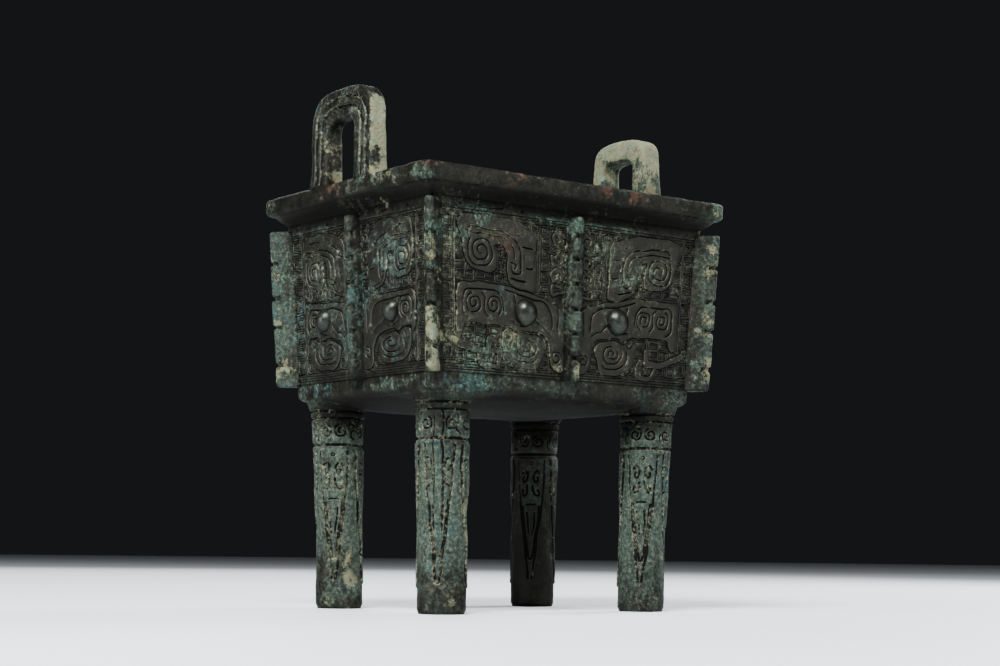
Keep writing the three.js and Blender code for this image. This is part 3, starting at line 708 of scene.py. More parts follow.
# Where the casting is dusty, crusted, green, blue, red or washed with grey-green, and where shade is
# painted on it:
# each oval's centre and half sizes in millimetres, and its strength
STAINS = {
    "dust": [
        (-54, -39, 45, 16, 16, 50, 0.8), (-54, 39, 45, 16, 16, 50, 0.8),
        (54, -39, 45, 16, 16, 50, 0.6), (-40, -57, 160, 26, 4, 6, 1.0),
        (-66, -56, 150, 7, 4, 18, 0.8), (-62, -56, 113, 10, 4, 12, 1.0),
        (-30, -56, 110, 20, 4, 12, 0.9), (-6, -58, 150, 8, 4, 14, 0.8),
        (14, -57, 148, 10, 4, 18, 0.9), (38, -57, 148, 16, 4, 12, 0.8),
        (-76, 0, 205, 8, 26, 26, 0.8), (-73, -30, 150, 5, 14, 12, 0.7),
        (-73, 30, 145, 5, 18, 16, 0.5), (30, -56, 112, 14, 4, 10, 0.4),
        (40, 57, 150, 20, 4, 12, 0.8), (-30, 57, 112, 24, 4, 12, 0.7),
        (74, -28, 112, 5, 16, 12, 0.8), (74, 26, 148, 5, 16, 12, 0.6),
    ],
    # Painted shade: under the belly, under the flaring lip, inside the vessel and on the back right
    # leg
    "soot": [
        (0, 0, 84, 74, 58, 9, 1.1), (0, 0, 170.5, 90, 72, 5, 1.0), (0, 0, 120, 62, 46, 50, 0.6),
        (54, 39, 40, 16, 16, 60, 0.4),
    ],
    "crust": [
        (-78, -61, 104, 9, 9, 12, 0.9), (-78, -61, 117, 9, 9, 8, 0.87),
        (-78, -61, 147, 9, 9, 7, 0.62), (-78, -61, 160, 9, 9, 6, 0.5),
        (-78, -61, 133, 9, 9, 6, 0.5), (-74, 61, 106, 10, 10, 10, 0.8),
        (-76, 62, 124, 9, 9, 7, 0.5), (75, -17, 209, 14, 9, 16, 1.0),
        (75, 14, 208, 14, 9, 14, 1.05), (75, -2, 216, 14, 24, 9, 1.1),
        (78, -62, 134, 8, 8, 44, 0.62), (-77, 62, 134, 8, 8, 44, 0.4),
        (-77, -24, 200, 12, 3, 26, 1.15), (-77, -8, 188, 10, 4, 14, 0.1),
        (-76, 12, 188, 10, 3, 8, 0.75), (-76, 12, 198, 10, 3, 10, 0.8),
        (4, -60, 101, 7, 4, 5, 1.0), (-7, -57, 102, 6, 3, 3, 0.9), (78, -62, 108, 7, 7, 11, 0.7),
        (78, -62, 138, 7, 7, 8, 0.5), (-56, -49, 12, 8, 6, 11, 0.65),
        (-46, -47, 40, 6, 6, 16, 0.65), (60, -48, 20, 6, 6, 9, 0.4), (-55, 28, 16, 5, 6, 9, 0.75),
        (-54, -39, 3, 16, 16, 7, 0.45), (-54, 39, 3, 16, 16, 6, 0.4),
        (54, -39, 3, 16, 16, 5, 0.4), (-30, -66, 180, 8, 5, 5, 0.5),
        (-84, -30, 178, 4, 14, 5, 0.6), (-20, -56, 113, 30, 4, 10, 0.35),
        (-64, -56, 110, 8, 4, 8, 0.6), (-66, -56, 148, 6, 4, 10, 0.5),
        (78, 61, 106, 9, 9, 11, 0.75), (-10, 60, 102, 8, 4, 5, 0.8), (44, 57, 108, 8, 4, 7, 0.6),
    ],
    "green": [
        (-66, -56, 160, 9, 5, 12, 0.9), (-48, -56, 163, 16, 5, 4, 0.9),
        (-25, -56, 165, 10, 5, 4, 0.7), (0, -62, 165, 6, 6, 6, 1.6), (2, -60, 104, 8, 6, 6, 0.9),
        (16, -57, 150, 8, 5, 14, 0.7), (36, -57, 146, 16, 5, 9, 0.7),
        (-48, -56, 108, 12, 5, 10, 0.6), (-26, -56, 108, 12, 5, 9, 0.7),
        (81, -63, 178, 6, 6, 7, 1.2), (-81, 62, 178, 8, 8, 7, 0.8), (-80, -62, 179, 8, 8, 6, 0.9),
        (-74, 56, 150, 8, 10, 14, 1.0), (78, -61, 160, 7, 7, 10, 1.0),
        (78, -61, 104, 8, 8, 9, 1.0), (40, -58, 95, 30, 6, 4, 0.5), (-30, -56, 94, 24, 6, 4, 0.5),
        (-71, -30, 94, 6, 26, 4, 0.8), (64, -58, 110, 6, 5, 10, 0.7),
        (-78, -62, 145, 8, 8, 14, 0.8), (30, 57, 164, 24, 5, 5, 0.9),
        (-52, 57, 150, 12, 5, 14, 0.7), (74, 30, 162, 5, 18, 6, 0.9),
        (74, -40, 130, 5, 10, 16, 0.6), (78, 61, 150, 8, 8, 16, 0.8),
    ],
    "blue": [
        (-73, -24, 148, 5, 14, 13, 0.9), (-73, -6, 132, 5, 7, 16, 0.9),
        (-78, 0, 130, 6, 6, 26, 0.8), (-72, 10, 116, 5, 9, 9, 0.6),
        (-71, -30, 108, 5, 16, 7, 0.7), (-72, 46, 130, 5, 9, 16, 0.7),
        (-74, 60, 140, 8, 8, 20, 0.8), (0, -62, 150, 6, 7, 9, 0.6), (-50, -54, 94, 14, 6, 4, 0.7),
        (20, -56, 94, 14, 6, 4, 0.45), (-71, 28, 94, 6, 16, 4, 0.8),
        (-60, -45, 72, 9, 9, 12, 0.8), (-62, -46, 30, 9, 9, 14, 0.8),
        (60, -46, 58, 9, 9, 16, 0.7), (-46, -56, 130, 14, 4, 10, 0.45),
        (-34, -56, 128, 7, 4, 6, 0.7), (26, 56, 124, 14, 5, 14, 0.6),
        (73, 12, 116, 5, 10, 12, 0.7), (0, 58, 94, 50, 6, 4, 0.6), (72, 0, 94, 6, 40, 4, 0.6),
    ],
    "rust": [
        (-36, -66, 178, 7, 4, 6, 0.8), (12, -66, 180, 5, 4, 4, 1.0), (29, -66, 179, 6, 4, 5, 1.0),
        (-79, -63, 181, 5, 4, 3, 0.9), (-84, 6, 178, 4, 9, 6, 0.9), (-38, -57, 154, 9, 4, 7, 0.7),
        (-77, -26, 188, 8, 3, 6, 0.7), (-76, 4, 158, 6, 6, 9, 0.7), (-48, -50, 16, 6, 6, 8, 0.8),
        (-54, -39, 8, 16, 16, 9, 0.45), (-70, -40, 106, 5, 9, 4, 0.6),
        (-76, 12, 198, 8, 3, 9, 0.5), (-76, 2, 208, 8, 8, 4, 0.4), (74, -1, 193, 5, 9, 14, 1.1),
    ],
    "wash": [
        (-54, -39, 52, 16, 16, 42, 0.95), (-54, 39, 52, 16, 16, 42, 0.95),
        (54, -39, 52, 16, 16, 42, 0.95), (54, 39, 54, 16, 16, 34, 0.45),
        (0, 0, 95, 90, 70, 5, 0.35), (-76, 0, 132, 8, 72, 34, 0.3), (0, 0, 178, 90, 72, 5, 0.1),
        (-78, -62, 134, 9, 9, 40, 0.35), (78, -62, 134, 9, 9, 40, 0.7),
        (-76, 62, 134, 9, 9, 40, 0.8), (-79, -4, 205, 7, 24, 24, 0.3),
        (0, -61, 134, 5, 6, 36, 0.45), (-79, 0, 134, 7, 6, 44, 0.6),
        (75, 0, 210, 12, 30, 22, 1.3), (76, 0, 132, 8, 72, 34, 0.25),
        (0, 57, 132, 84, 8, 34, 0.2),
    ],
}


def ring(z, half_x, half_y, radius):
    """A rounded rectangle's corners at a height, the same count for every size."""
    arcs = []
    for quarter, signs in enumerate(CORNERS):
        turns = math.pi / 2 * (quarter + np.linspace(0, 1, RING_ARC + 1))
        centre = np.array(signs) * (half_x - radius, half_y - radius)
        arcs.append(centre + radius * np.column_stack([np.cos(turns), np.sin(turns)]))
    plan = []
    for quarter, arc in enumerate(arcs):
        count = int(2 * (RIM_WIDTH if quarter % 2 else RIM_LENGTH) / RING_SPACING)
        share = np.linspace(0, 1, count + 1)[1:-1, None]
        plan += [arc, arc[-1] + (arcs[(quarter + 1) % 4][0] - arc[-1]) * share]
    plan = np.vstack(plan)
    return np.column_stack([plan, np.full(len(plan), z)])


def bridge(first, second, closed=False):
    """Faces between two rows of corners, given by their numbers."""
    turns = [(i, (i + 1) % len(first)) for i in range(len(first) - (not closed))]
    return [(first[i], first[j], second[j], second[i]) for i, j in turns]


def skin(rings):
    """Corners and faces of a closed skin over rings that run outwards and up, then in and down."""
    corners = np.vstack(rings + [rings[0].mean(0), rings[-1].mean(0)])
    rows = np.arange(len(corners) - 2).reshape(len(rings), -1)
    faces = [face for a, b in zip(rows, rows[1:]) for face in bridge(a, b, closed=True)]
    for first, last, i, j in zip(rows[0], rows[-1], np.roll(rows[0], -1), np.roll(rows[-1], -1)):
        faces.append((len(corners) - 2, i, first))
        faces.append((len(corners) - 1, last, j))
    return corners, faces


# The vessel's skin: the steps round a ring's corner, then sizes in millimetres
RING_ARC = 5
RING_SPACING = 4.0
BELLY_DEPTH = 4.4
SKIRT_ROUNDING = 3.6
SKIRT_INSET = 0.5
WALL_INSET = 0.8
WALL_CORNER = 2.0
LIP_CORNER = 3.4
CAVITY_CORNER = 7
MOUTH_ROUNDING = 0.9
CAVITY_FOOT = LEG_HEIGHT + 5
CAVITY_ROUNDING = 6
# Shares of the way out from the belly's middle, and of its depth there
BELLY = ((0.08, 1.0), (0.25, 1.0), (0.5, 0.98), (0.65, 0.82), (0.8, 0.5), (0.9, 0.22))
# Shares of the way out from the neck to the lip's edge, and of the way up there
FLARE = ((0.2, 0.16), (0.45, 0.4), (0.7, 0.68), (0.9, 0.93), (1.0, 1.0))


def shell_rings(settings):
    """The vessel's skin: belly, skirt, wall behind the relief, rim, and the cavity inside."""
    wall = settings.wall_thickness / MM
    under, over = settings.lip_rounding / MM, settings.lip_rounding / MM * 0.8
    foot, rim = np.array([WALL_LENGTH, WALL_WIDTH]), np.array([RIM_LENGTH, RIM_WIDTH])
    neck, mouth = walls_at(FLARE_FOOT), walls_at(RIM_TOP) - wall
    quarter = math.pi / 2
    rings = []

    def add(z, size, radius):
        rings.append(ring(z, *size, radius))

    for share, drop in BELLY:
        add(LEG_HEIGHT - BELLY_DEPTH * drop, foot * (share, share - 0.04 * drop),
            min(10, 40 * share))
    for turn in np.linspace(0, quarter, 6):
        add(LEG_HEIGHT + SKIRT_ROUNDING * (1 - math.cos(turn)) * 0.9,
            foot - SKIRT_INSET - SKIRT_ROUNDING * (1 - math.sin(turn)), 4.6 - 2 * turn / quarter)
    for drop, inset, radius in ((2.9, 0, 2.4), (1.1, 0, 2.4), (0.3, 0, 2.4), (0, 0.2, 2.2)):
        add(PANEL_FOOT - drop, foot - SKIRT_INSET - inset, radius)
    for z in np.linspace(PANEL_FOOT + 0.5, FLARE_FOOT - 0.5, 19):
        add(z, walls_at(z) - WALL_INSET, WALL_CORNER)
    add(FLARE_FOOT - 0.15, neck + 0.15, 2.4)
    for share, rise in FLARE:
        add(FLARE_FOOT + (LIP_FOOT - FLARE_FOOT) * rise, neck + (rim - under - neck) * share,
            WALL_CORNER + (LIP_CORNER - WALL_CORNER) * share)
    for turn in np.linspace(0.35, quarter, 4):
        add(LIP_FOOT + under * (1 - math.cos(turn)), rim - under * (1 - math.sin(turn)),
            LIP_CORNER)
    for up in (2.9, 4.2, 5.4):
        add(LIP_FOOT + up, rim, LIP_CORNER)
    for turn in np.linspace(0, quarter, 5):
        add(RIM_TOP - over * (1 - math.sin(turn)), rim - over * (1 - math.cos(turn)), LIP_CORNER)
    for share in (0.25, 0.5, 0.75):
        add(RIM_TOP, rim - over + (mouth - rim + over) * share,
            LIP_CORNER + (CAVITY_CORNER - LIP_CORNER) * share)
    for turn in np.linspace(0, quarter, 4):
        add(RIM_TOP - MOUTH_ROUNDING * (1 - math.cos(turn)),
            mouth + MOUTH_ROUNDING * (1 - math.sin(turn)), CAVITY_CORNER)
    for z in np.linspace(RIM_TOP - 3, CAVITY_FOOT + CAVITY_ROUNDING, 20):
        add(z, walls_at(z) - wall, CAVITY_CORNER)
    for turn in np.linspace(0.3, quarter, 5):
        z = CAVITY_FOOT + CAVITY_ROUNDING * (1 - math.sin(turn))
        add(z, walls_at(z) - wall - CAVITY_ROUNDING * (1 - math.cos(turn)), CAVITY_CORNER)
    for share in (0.8, 0.6, 0.4, 0.2, 0.08):
        add(CAVITY_FOOT, (foot - 10) * share, min(CAVITY_CORNER, 30 * share))
    return rings


def make_vessel(settings, material):
    """The cast shell, uneven all over and more worn on the lip, which keeps its outermost line."""
    corners, faces = skin(shell_rings(settings))
    outward = unit((corners - (0, 0, 140)) * (1, 1, 0.3))
    bump = waves(corners, 26, 11) * 0.1 + waves(corners, 9, 12) * 0.1
    lip = corners[:, 2] > LIP_FOOT - 1
    room = np.all(np.abs(corners[:, :2]) <= (RIM_LENGTH - 0.3, RIM_WIDTH - 0.3), axis=1)
    corners = corners + outward * (bump * np.where(lip, 0.6 * room, 1.0))[:, None]
    corners -= outward * (np.maximum(waves(corners, 12, 13) - 0.3, 0) * 0.8 * lip)[:, None]
    return make_piece("vessel", corners, faces, material)


# How deep a wall's relief is let into the vessel, and the rise that counts as a plate's top
SLAB_DEPTH = 1.6
PLATE_TOP = 0.7
# Sizes of a wall's unevenness: along it, up it twice, in its relief's height and in its surface
WALL_WAVES = (12, 12, 4, 15, 5)


def make_wall(name, long, facing, drawn, material, seed):
    """One wall's relief: both halves of the mask on a slab that is let into the vessel."""
    flat, height, hollow, triangles = drawn
    across, top = flat.max(0)
    edge = np.array(border_of(flat, across, top))
    blank = np.zeros(len(edge))
    still = np.minimum(1, np.minimum(flat[:, 0], across - flat[:, 0]) / 3)
    still *= np.minimum(1, np.minimum(flat[:, 1], top - flat[:, 1]) / 3)
    corners, faces, rims = [], [], []
    start = 0
    for hand in (-1, 1):
        wave = [waves(flat, size, seed * 10 + hand + 5 * i) for i, size in enumerate(WALL_WAVES)]
        moved = flat + np.column_stack(wave[:2]) * (0.3 * still)[:, None]
        moved[:, 1] += wave[2] * 0.06 * still
        worn = height * (0.95 + 0.08 * wave[3]) + 0.05 * wave[4] * still
        along, z = hand * moved[:, 0], PANEL_FOOT + moved[:, 1]
        corners.append(on_wall(long, facing, along, z, worn))
        corners.append(on_wall(long, facing, along[edge], z[edge], -SLAB_DEPTH))
        faces.extend((triangles + start).tolist())
        low = start + len(flat)
        rims.append(list(range(low, low + len(edge))))
        faces.extend(bridge(start + edge, rims[-1]))
        start = low + len(edge)
    faces.append(rims[1] + rims[0][::-1])
    piece = make_piece(name, np.vstack(corners), faces, material,
                       np.concatenate([height / PLATE_TOP, blank] * 2),
                       np.concatenate([hollow, blank] * 2))
    close_up(piece)
    return piece


def border_of(flat, across, top):
    """The border's corners from the middle's foot round by the wall's corner to the middle's top."""
    foot = sorted(np.flatnonzero(flat[:, 1] < 1e-3), key=lambda i: flat[i, 0])
    side = sorted(np.flatnonzero(flat[:, 0] > across - 1e-3), key=lambda i: flat[i, 1])
    head = sorted(np.flatnonzero(flat[:, 1] > top - 1e-3), key=lambda i: -flat[i, 0])
    return foot + side[1:] + head[1:]


def close_up(piece, reach=2e-6):
    """Joins corners that lie on each other, and turns every face outwards."""
    made = bmesh.new()
    made.from_mesh(piece.data)
    bmesh.ops.remove_doubles(made, verts=made.verts, dist=reach)
    bmesh.ops.holes_fill(made, edges=[edge for edge in made.edges if edge.is_boundary])
    bmesh.ops.recalc_face_normals(made, faces=made.faces)
    made.to_mesh(piece.data)
    made.free()


# Legs

# Where a leg's foot stands, how far it leans outwards to its root, and the radius at which its
# relief is unrolled
LEG_PLACE = np.array([53.7, 38.8])
LEG_SPLAY = (1.6, 1.4)
LEG_SHEET_RADIUS = 10.3
# Heights of a leg: its end inside the vessel, its thinnest place, the flare at its root, the
# rounding of its foot, and the band with the mask
LEG_TOP = 93.0
LEG_WAIST = 40
LEG_FLARE = 8.0
FOOT_ROUNDING = 0.8
BAND_FOOT = 71.2
BAND_TOP = 84.2

# Half of a hanging blade's outline: away from its middle, and height
BLADE = ((6.9, 69.4), (6.6, 60), (5.6, 46), (3.4, 28), (1.0, 12))
# Lines cut into half a blade, how far the nose ridge moves each one aside as a share, and widths
BLADE_CUTS = (
    ([(6.3, 68.4), (5.9, 58), (4.8, 46), (2.8, 30), (0.8, 13)], 0.0, 1.4),
    ([(3.7, 46.8), (2.9, 38), (1.5, 28), (0.5, 22)], 0.3, 1.25),
    ([(3.9, 62.2), (2.8, 63.5), (1.5, 62.4), (1.3, 60.2), (2.0, 58.4), (3.2, 58.6), (3.3, 60.2)],
     1.0, 1.2),
    ([(1.2, 56.4), (1.2, 54.0), (2.0, 52.2), (3.2, 51.8), (3.8, 52.8), (3.4, 54.0)], 0.9, 1.2),
    ([(1.6, 43.6), (1.3, 38), (0.8, 33)], 0.4, 1.0),
)
# The hook that parts two curls of the leg's band
BAND_HOOK = ((8.6, 73.6), (7.4, 75.0), (7.6, 77.0), (8.8, 78.0), (8.8, 80.2), (7.6, 81.0))
# How far the lines beside the nose ridge make room for it
NOSE_RIDGE = 1.4


def leg_radius(z):
    """A leg's radius at each height: rounded foot, thinner waist, and flare under the vessel."""
    root = LEG_HEIGHT - LEG_FLARE
    below = np.minimum(z / LEG_WAIST, 1)
    above = np.clip((z - LEG_WAIST) / (root - LEG_WAIST), 0, 1)
    flare = np.clip((z - root) / LEG_FLARE, 0, 1.1)
    return 10.2 - 0.4 * below + 1.5 * above + 2.3 * flare**2 - rounded(z, FOOT_ROUNDING)


def leg_relief(settings):
    """A leg's bark unrolled: mask band, nose ridge on the outer diagonal, and four hanging blades."""
    round_leg = 2 * math.pi * LEG_SHEET_RADIUS
    blade = round_leg / 4
    relief = Relief(
        (-blade / 2, 0), (round_leg - blade / 2, LEG_TOP),
        settings.blade_height / MM, 0.0, settings.leg_cut_depth / MM, 0.3, grain=1.9,
        cuts_ground=True,
    )
    low, high = relief.low[0], relief.high[0]
    for z, width in ((BAND_FOOT, 1.5), (BAND_TOP - 1.2, 1.1), (BAND_TOP + 1.8, 1.4)):
        relief.add_cut(divided([(low, z), (high, z)]), width)
    relief.add_band(divided([(0, 38), (0, LEG_TOP - 1)]), 2.6)
    relief.add_cut(smooth([(1.95, BAND_TOP - 1.4), (1.9, 74), (1.95, 60), (1.8, 40)]), 1.0)
    relief.add_cut(smooth([(-1.8, BAND_TOP - 3), (-1.7, 62), (-1.6, 44)]), 0.6)
    for turn in range(4):
        s = turn * blade
        ridge = 0 if turn else NOSE_RIDGE
        if not ridge:
            right, left = ([(s + side * x, z) for x, z in BLADE] for side in (1, -1))
            outline = [left[0], *right, (s, 10.6), *left[:0:-1]]
            relief.plates.append(divided(outline[::-1], closed=True))
            relief.add_cut([(s - 1.9, 47.6), (s, 47.8), (s + 1.9, 47.6)], 0.9)
            relief.add_cut(coil((s, 67), 0.8, 0.6, 1.0, 0, step=0.5), 0.6)
        for hand in (-1, 1):
            for points, share, width in BLADE_CUTS:
                apart = ridge * share
                line = [(s + hand * (x * (1 + apart * 0.15) + apart), z) for x, z in points]
                relief.add_cut(smooth(line), width)
            relief.add_cut(coil((s + hand * (3.4 + ridge * 1.5), 77.2), 2.7, 0.8, 1.3,
                                90 + hand * 30, hand=hand, step=0.5), 1.1)
        relief.add_cut(smooth([(s + x, z) for x, z in BAND_HOOK]), 1.0)
    return relief


def make_leg(drawn, material):
    """One leg round the Z axis, with its nose ridge on +X."""
    flat, height, hollow, triangles = drawn
    wave = waves(flat, 15, 71) * 0.3
    still = np.minimum(1, (flat[:, 0] - flat[:, 0].min()) / 3)
    still *= np.minimum(1, (flat[:, 0].max() - flat[:, 0]) / 3)
    turn = (flat[:, 0] + wave * still) / LEG_SHEET_RADIUS
    z = flat[:, 1]
    steady = np.clip(z / 2, 0, 1) * np.clip((LEG_TOP - z) / 4, 0, 1)
    ways = np.column_stack([np.cos(turn) * 10, np.sin(turn) * 10, z])
    uneven = 0.16 * waves(ways, 14, 72) + 0.05 * waves(ways, 4, 73)
    radius = leg_radius(z) + steady * (height + uneven)
    corners = np.column_stack([radius * np.cos(turn), radius * np.sin(turn), z])
    piece = make_piece("leg", corners, triangles, material, 0.5, hollow)
    close_up(piece)
    return piece


# Node trees


class Wire:
    """A node's output that can be written into sums."""

    def __init__(self, tree, socket):
        self.tree, self.socket = tree, socket

    def _sum(self, operation, first, second):
        return self.tree.node("ShaderNodeMath", {"operation": operation}, first, second)

    def __add__(self, other):
        return self._sum("ADD", self, other)

    __radd__ = __add__

    def __sub__(self, other):
        return self._sum("SUBTRACT", self, other)

    def __rsub__(self, other):
        return self._sum("SUBTRACT", other, self)

    def __mul__(self, other):
        return self._sum("MULTIPLY", self, other)

    __rmul__ = __mul__

    def __pow__(self, other):
        return self._sum("POWER", self, other)

    def most(self, other):
        """The greater of two values."""
        return self._sum("MAXIMUM", self, other)


class Tree:
    """Adds nodes to a node tree."""

    def __init__(self, tree):
        self.nodes, self.links = tree.nodes, tree.links

    def node(self, kind, settings=None, *values, out=0, **named):
        """A node with its settings, fed by sockets in order or by their names."""
        made = self.nodes.new(kind)
        for name, value in (settings or {}).items():
            setattr(made, name, value)
        for socket, value in zip(made.inputs, values):
            self.feed(socket, value)
        for name, value in named.items():
            self.feed(made.inputs[name.replace("_", " ")], value)
        return Wire(self, made.outputs[out])

    def feed(self, socket, value):
        """Links a wire to a socket, or sets the socket's own value."""
        if isinstance(value, Wire):
            self.links.new(value.socket, socket)
        elif value is not None:
            socket.default_value = value

    def vector(self, operation, *values, **named):
        """One step of vector maths."""
        return self.node("ShaderNodeVectorMath", {"operation": operation}, *values, **named)

    def parts(self, vector):
        """A vector's three parts."""
        made = self.nodes.new("ShaderNodeSeparateXYZ")
        self.feed(made.inputs[0], vector)
        return [Wire(self, socket) for socket in made.outputs]

    def mix(self, share, first, second):
        """One colour over another by a share."""
        made = self.nodes.new("ShaderNodeMix")
        made.data_type = "RGBA"
        for slot, value in ((0, share), (6, first), (7, second)):
            self.feed(made.inputs[slot], value)
        return Wire(self, made.outputs[2])

    def rise(self, value, low, high):
        """Nought below low, one above high, and smooth between."""
        return self.node("ShaderNodeMapRange", {"interpolation_type": "SMOOTHSTEP"}, value, low, high,
                         0.0, 1.0)


def geometry_tree(name, sockets):
    """An empty node tree that takes a geometry and named sizes, and gives a geometry."""
    group = bpy.data.node_groups.new(name, "GeometryNodeTree")
    group.interface.new_socket("Geometry", in_out="INPUT", socket_type="NodeSocketGeometry")
    for label, kind, default in sockets:
        made = group.interface.new_socket(label, in_out="INPUT", socket_type=kind)
        if default is not None:
            made.default_value = default
    group.interface.new_socket("Geometry", in_out="OUTPUT", socket_type="NodeSocketGeometry")
    tree = Tree(group)
    inputs = group.nodes.new("NodeGroupInput")
    given = {socket.name: Wire(tree, socket) for socket in inputs.outputs if socket.name}
    return group, tree, given


def finish_tree(tree, shape, given):
    """Ends a tree with one real, smooth mesh in its material."""
    smoothed = tree.node("GeometryNodeSetShadeSmooth", {}, shape)
    whole = tree.node("GeometryNodeRealizeInstances", {}, smoothed)
    faced = tree.node("GeometryNodeSetMaterial", {}, whole, Material=given["Material"])
    tree.feed(tree.nodes.new("NodeGroupOutput").inputs[0], faced)


def grow(name, points, marks, group, values):
    """Runs a node tree on a few points that carry marks, and gives the plain mesh it makes."""
    mesh = bpy.data.meshes.new(name + "_points")
    mesh.from_pydata([tuple(p) for p in points], [], [])
    for label, (kind, rows) in marks.items():
        layer = mesh.attributes.new(label, kind, "POINT")
        layer.data.foreach_set("value" if kind == "FLOAT" else "vector",
                               np.asarray(rows, np.float32).ravel())
    seed = place(name + "_points", mesh)
    modifier = seed.modifiers.new(name, "NODES")
    modifier.node_group = group
    for item in group.interface.items_tree:
        if item.in_out == "INPUT" and item.name in values:
            modifier[item.identifier] = values[item.name]
    bpy.context.view_layer.update()
    depsgraph = bpy.context.evaluated_depsgraph_get()
    grown = bpy.data.meshes.new_from_object(seed.evaluated_get(depsgraph))
    bpy.data.objects.remove(seed)
    grown.name = name
    return place(name, grown)


def read_mark(tree, name, kind="FLOAT"):
    """The value that a tree's points carry under a name."""
    return tree.node("GeometryNodeInputNamedAttribute", {"data_type": kind}, name)


def leg_tree():
    """The same leg stood on every point and turned to face outwards."""
    group, tree, given = geometry_tree(
        "Legs at the corners",
        [("Leg", "NodeSocketObject", None), ("Material", "NodeSocketMaterial", None)],
    )
    leg = tree.node("GeometryNodeObjectInfo", {}, given["Leg"], out="Geometry")
    stood = tree.node("GeometryNodeInstanceOnPoints", {}, given["Geometry"], None, leg,
                      Rotation=read_mark(tree, "turn", "FLOAT_VECTOR"))
    finish_tree(tree, stood, given)
    return group


def make_legs(settings, material):
    """Four legs under the corners, leaning outwards to their roots."""
    leg = make_leg(leg_relief(settings).mesh(), material)
    points = [(*LEG_PLACE * corner * MM, 0) for corner in CORNERS]
    turns = [(0, 0, math.atan2(sy, sx)) for sx, sy in CORNERS]
    legs = grow("legs", points, {"turn": ("FLOAT_VECTOR", turns)}, leg_tree(),
                {"Leg": leg, "Material": material})
    bpy.data.objects.remove(leg)
    corners = read_corners(legs)
    lean = corners[:, 2:] / LEG_HEIGHT
    corners[:, :2] += np.sign(corners[:, :2]) * LEG_SPLAY * lean
    write_corners(legs, corners)
    stain(legs, corners)
    return legs


def read_corners(piece):
    """A piece's corners in millimetres."""
    flat = np.empty(len(piece.data.vertices) * 3)
    piece.data.vertices.foreach_get("co", flat)
    return flat.reshape(-1, 3) / MM


def write_corners(piece, corners):
    """Moves a piece's corners to places in millimetres."""
    piece.data.vertices.foreach_set("co", (corners * MM).ravel())
    piece.data.update()


def eye_tree():
    """A bulging boss on every point, drawn in towards its upper and lower ends."""
    group, tree, given = geometry_tree(
        "Eye bosses",
        [("Half width", "NodeSocketFloat", 0.0055), ("Half height", "NodeSocketFloat", 0.006),
         ("Reach", "NodeSocketFloat", 0.0056), ("Point", "NodeSocketFloat", 0.1),
         ("Material", "NodeSocketMaterial", None)],
    )
    ball = tree.node("GeometryNodeMeshUVSphere", {}, 36, 24, 1.0)
    x, y, z = tree.parts(tree.node("GeometryNodeInputPosition"))
    drop = tree.node("ShaderNodeMath", {"operation": "ABSOLUTE"}, y) ** 3.0
    narrow = 1 - given["Point"] * drop
    size = tree.node("ShaderNodeCombineXYZ", {}, given["Half width"] * x * narrow,
                     given["Half height"] * y, given["Reach"] * z * narrow)
    shaped = tree.node("GeometryNodeSetPosition", {}, ball, Position=size)
    stood = tree.node("GeometryNodeInstanceOnPoints", {}, given["Geometry"], None, shaped,
                      Rotation=read_mark(tree, "turn", "FLOAT_VECTOR"), Scale=read_mark(tree, "size"))
    finish_tree(tree, stood, given)
    return group


def make_eyes(settings, material):
    """Eight bosses, two on each wall's mask."""
    points, turns, sizes = [], [], []
    z = PANEL_FOOT + EYE_HEIGHT
    for hand in (-1, 1):
        for facing in (-1, 1):
            for long, mask, size in ((True, LONG_MASK, 1.0),
                                     (False, SHORT_MASK, settings.side_share)):
                points.append(on_wall(long, facing, hand * mask["eye"], z, 0)[0] * MM)
                about = math.pi * (facing > 0) - (0 if long else math.pi / 2)
                turns.append((math.pi / 2, 0, about))
                sizes.append(size)
    eyes = grow(
        "eyes", points, {"turn": ("FLOAT_VECTOR", turns), "size": ("FLOAT", sizes)}, eye_tree(),
        {"Half width": settings.half_width, "Half height": settings.half_height,
         "Reach": settings.reach, "Material": material},
    )
    corners = read_corners(eyes)
    corners += 0.05 * drift(corners, 5, 31)
    write_corners(eyes, corners)
    weather(eyes, corners)
    return eyes


# Flanges

# How deep the blocks' roots sink into the vessel, and the web left between blocks
FLANGE_SINK = 3.4
SLIT_WEB = 1.2
# A flange's lower and upper end from the panel's foot, and where the casting's ends begin, whose
# blocks stay even so that its length holds
FLANGE_FOOT, FLANGE_TOP = -1.0, PANEL_HEIGHT + 1.4
STEADY_FROM = 78.5
# Each kind's reach, thickness at its root and tip, how far its web lies beside its middle, and
# the heights of its slits
CORNER_FLANGE = {"reach": 8.2, "root": 7.3, "tip": 3.4, "web": 0.0,
                 "slits": (8.8, 25.7, 38.5, 54.1)}
MIDDLE_FLANGE = {"reach": 5.7, "root": 6.2, "tip": 3.5, "web": 0.9,
                 "slits": tuple(8.8 + 10.4 * i for i in range(6))}


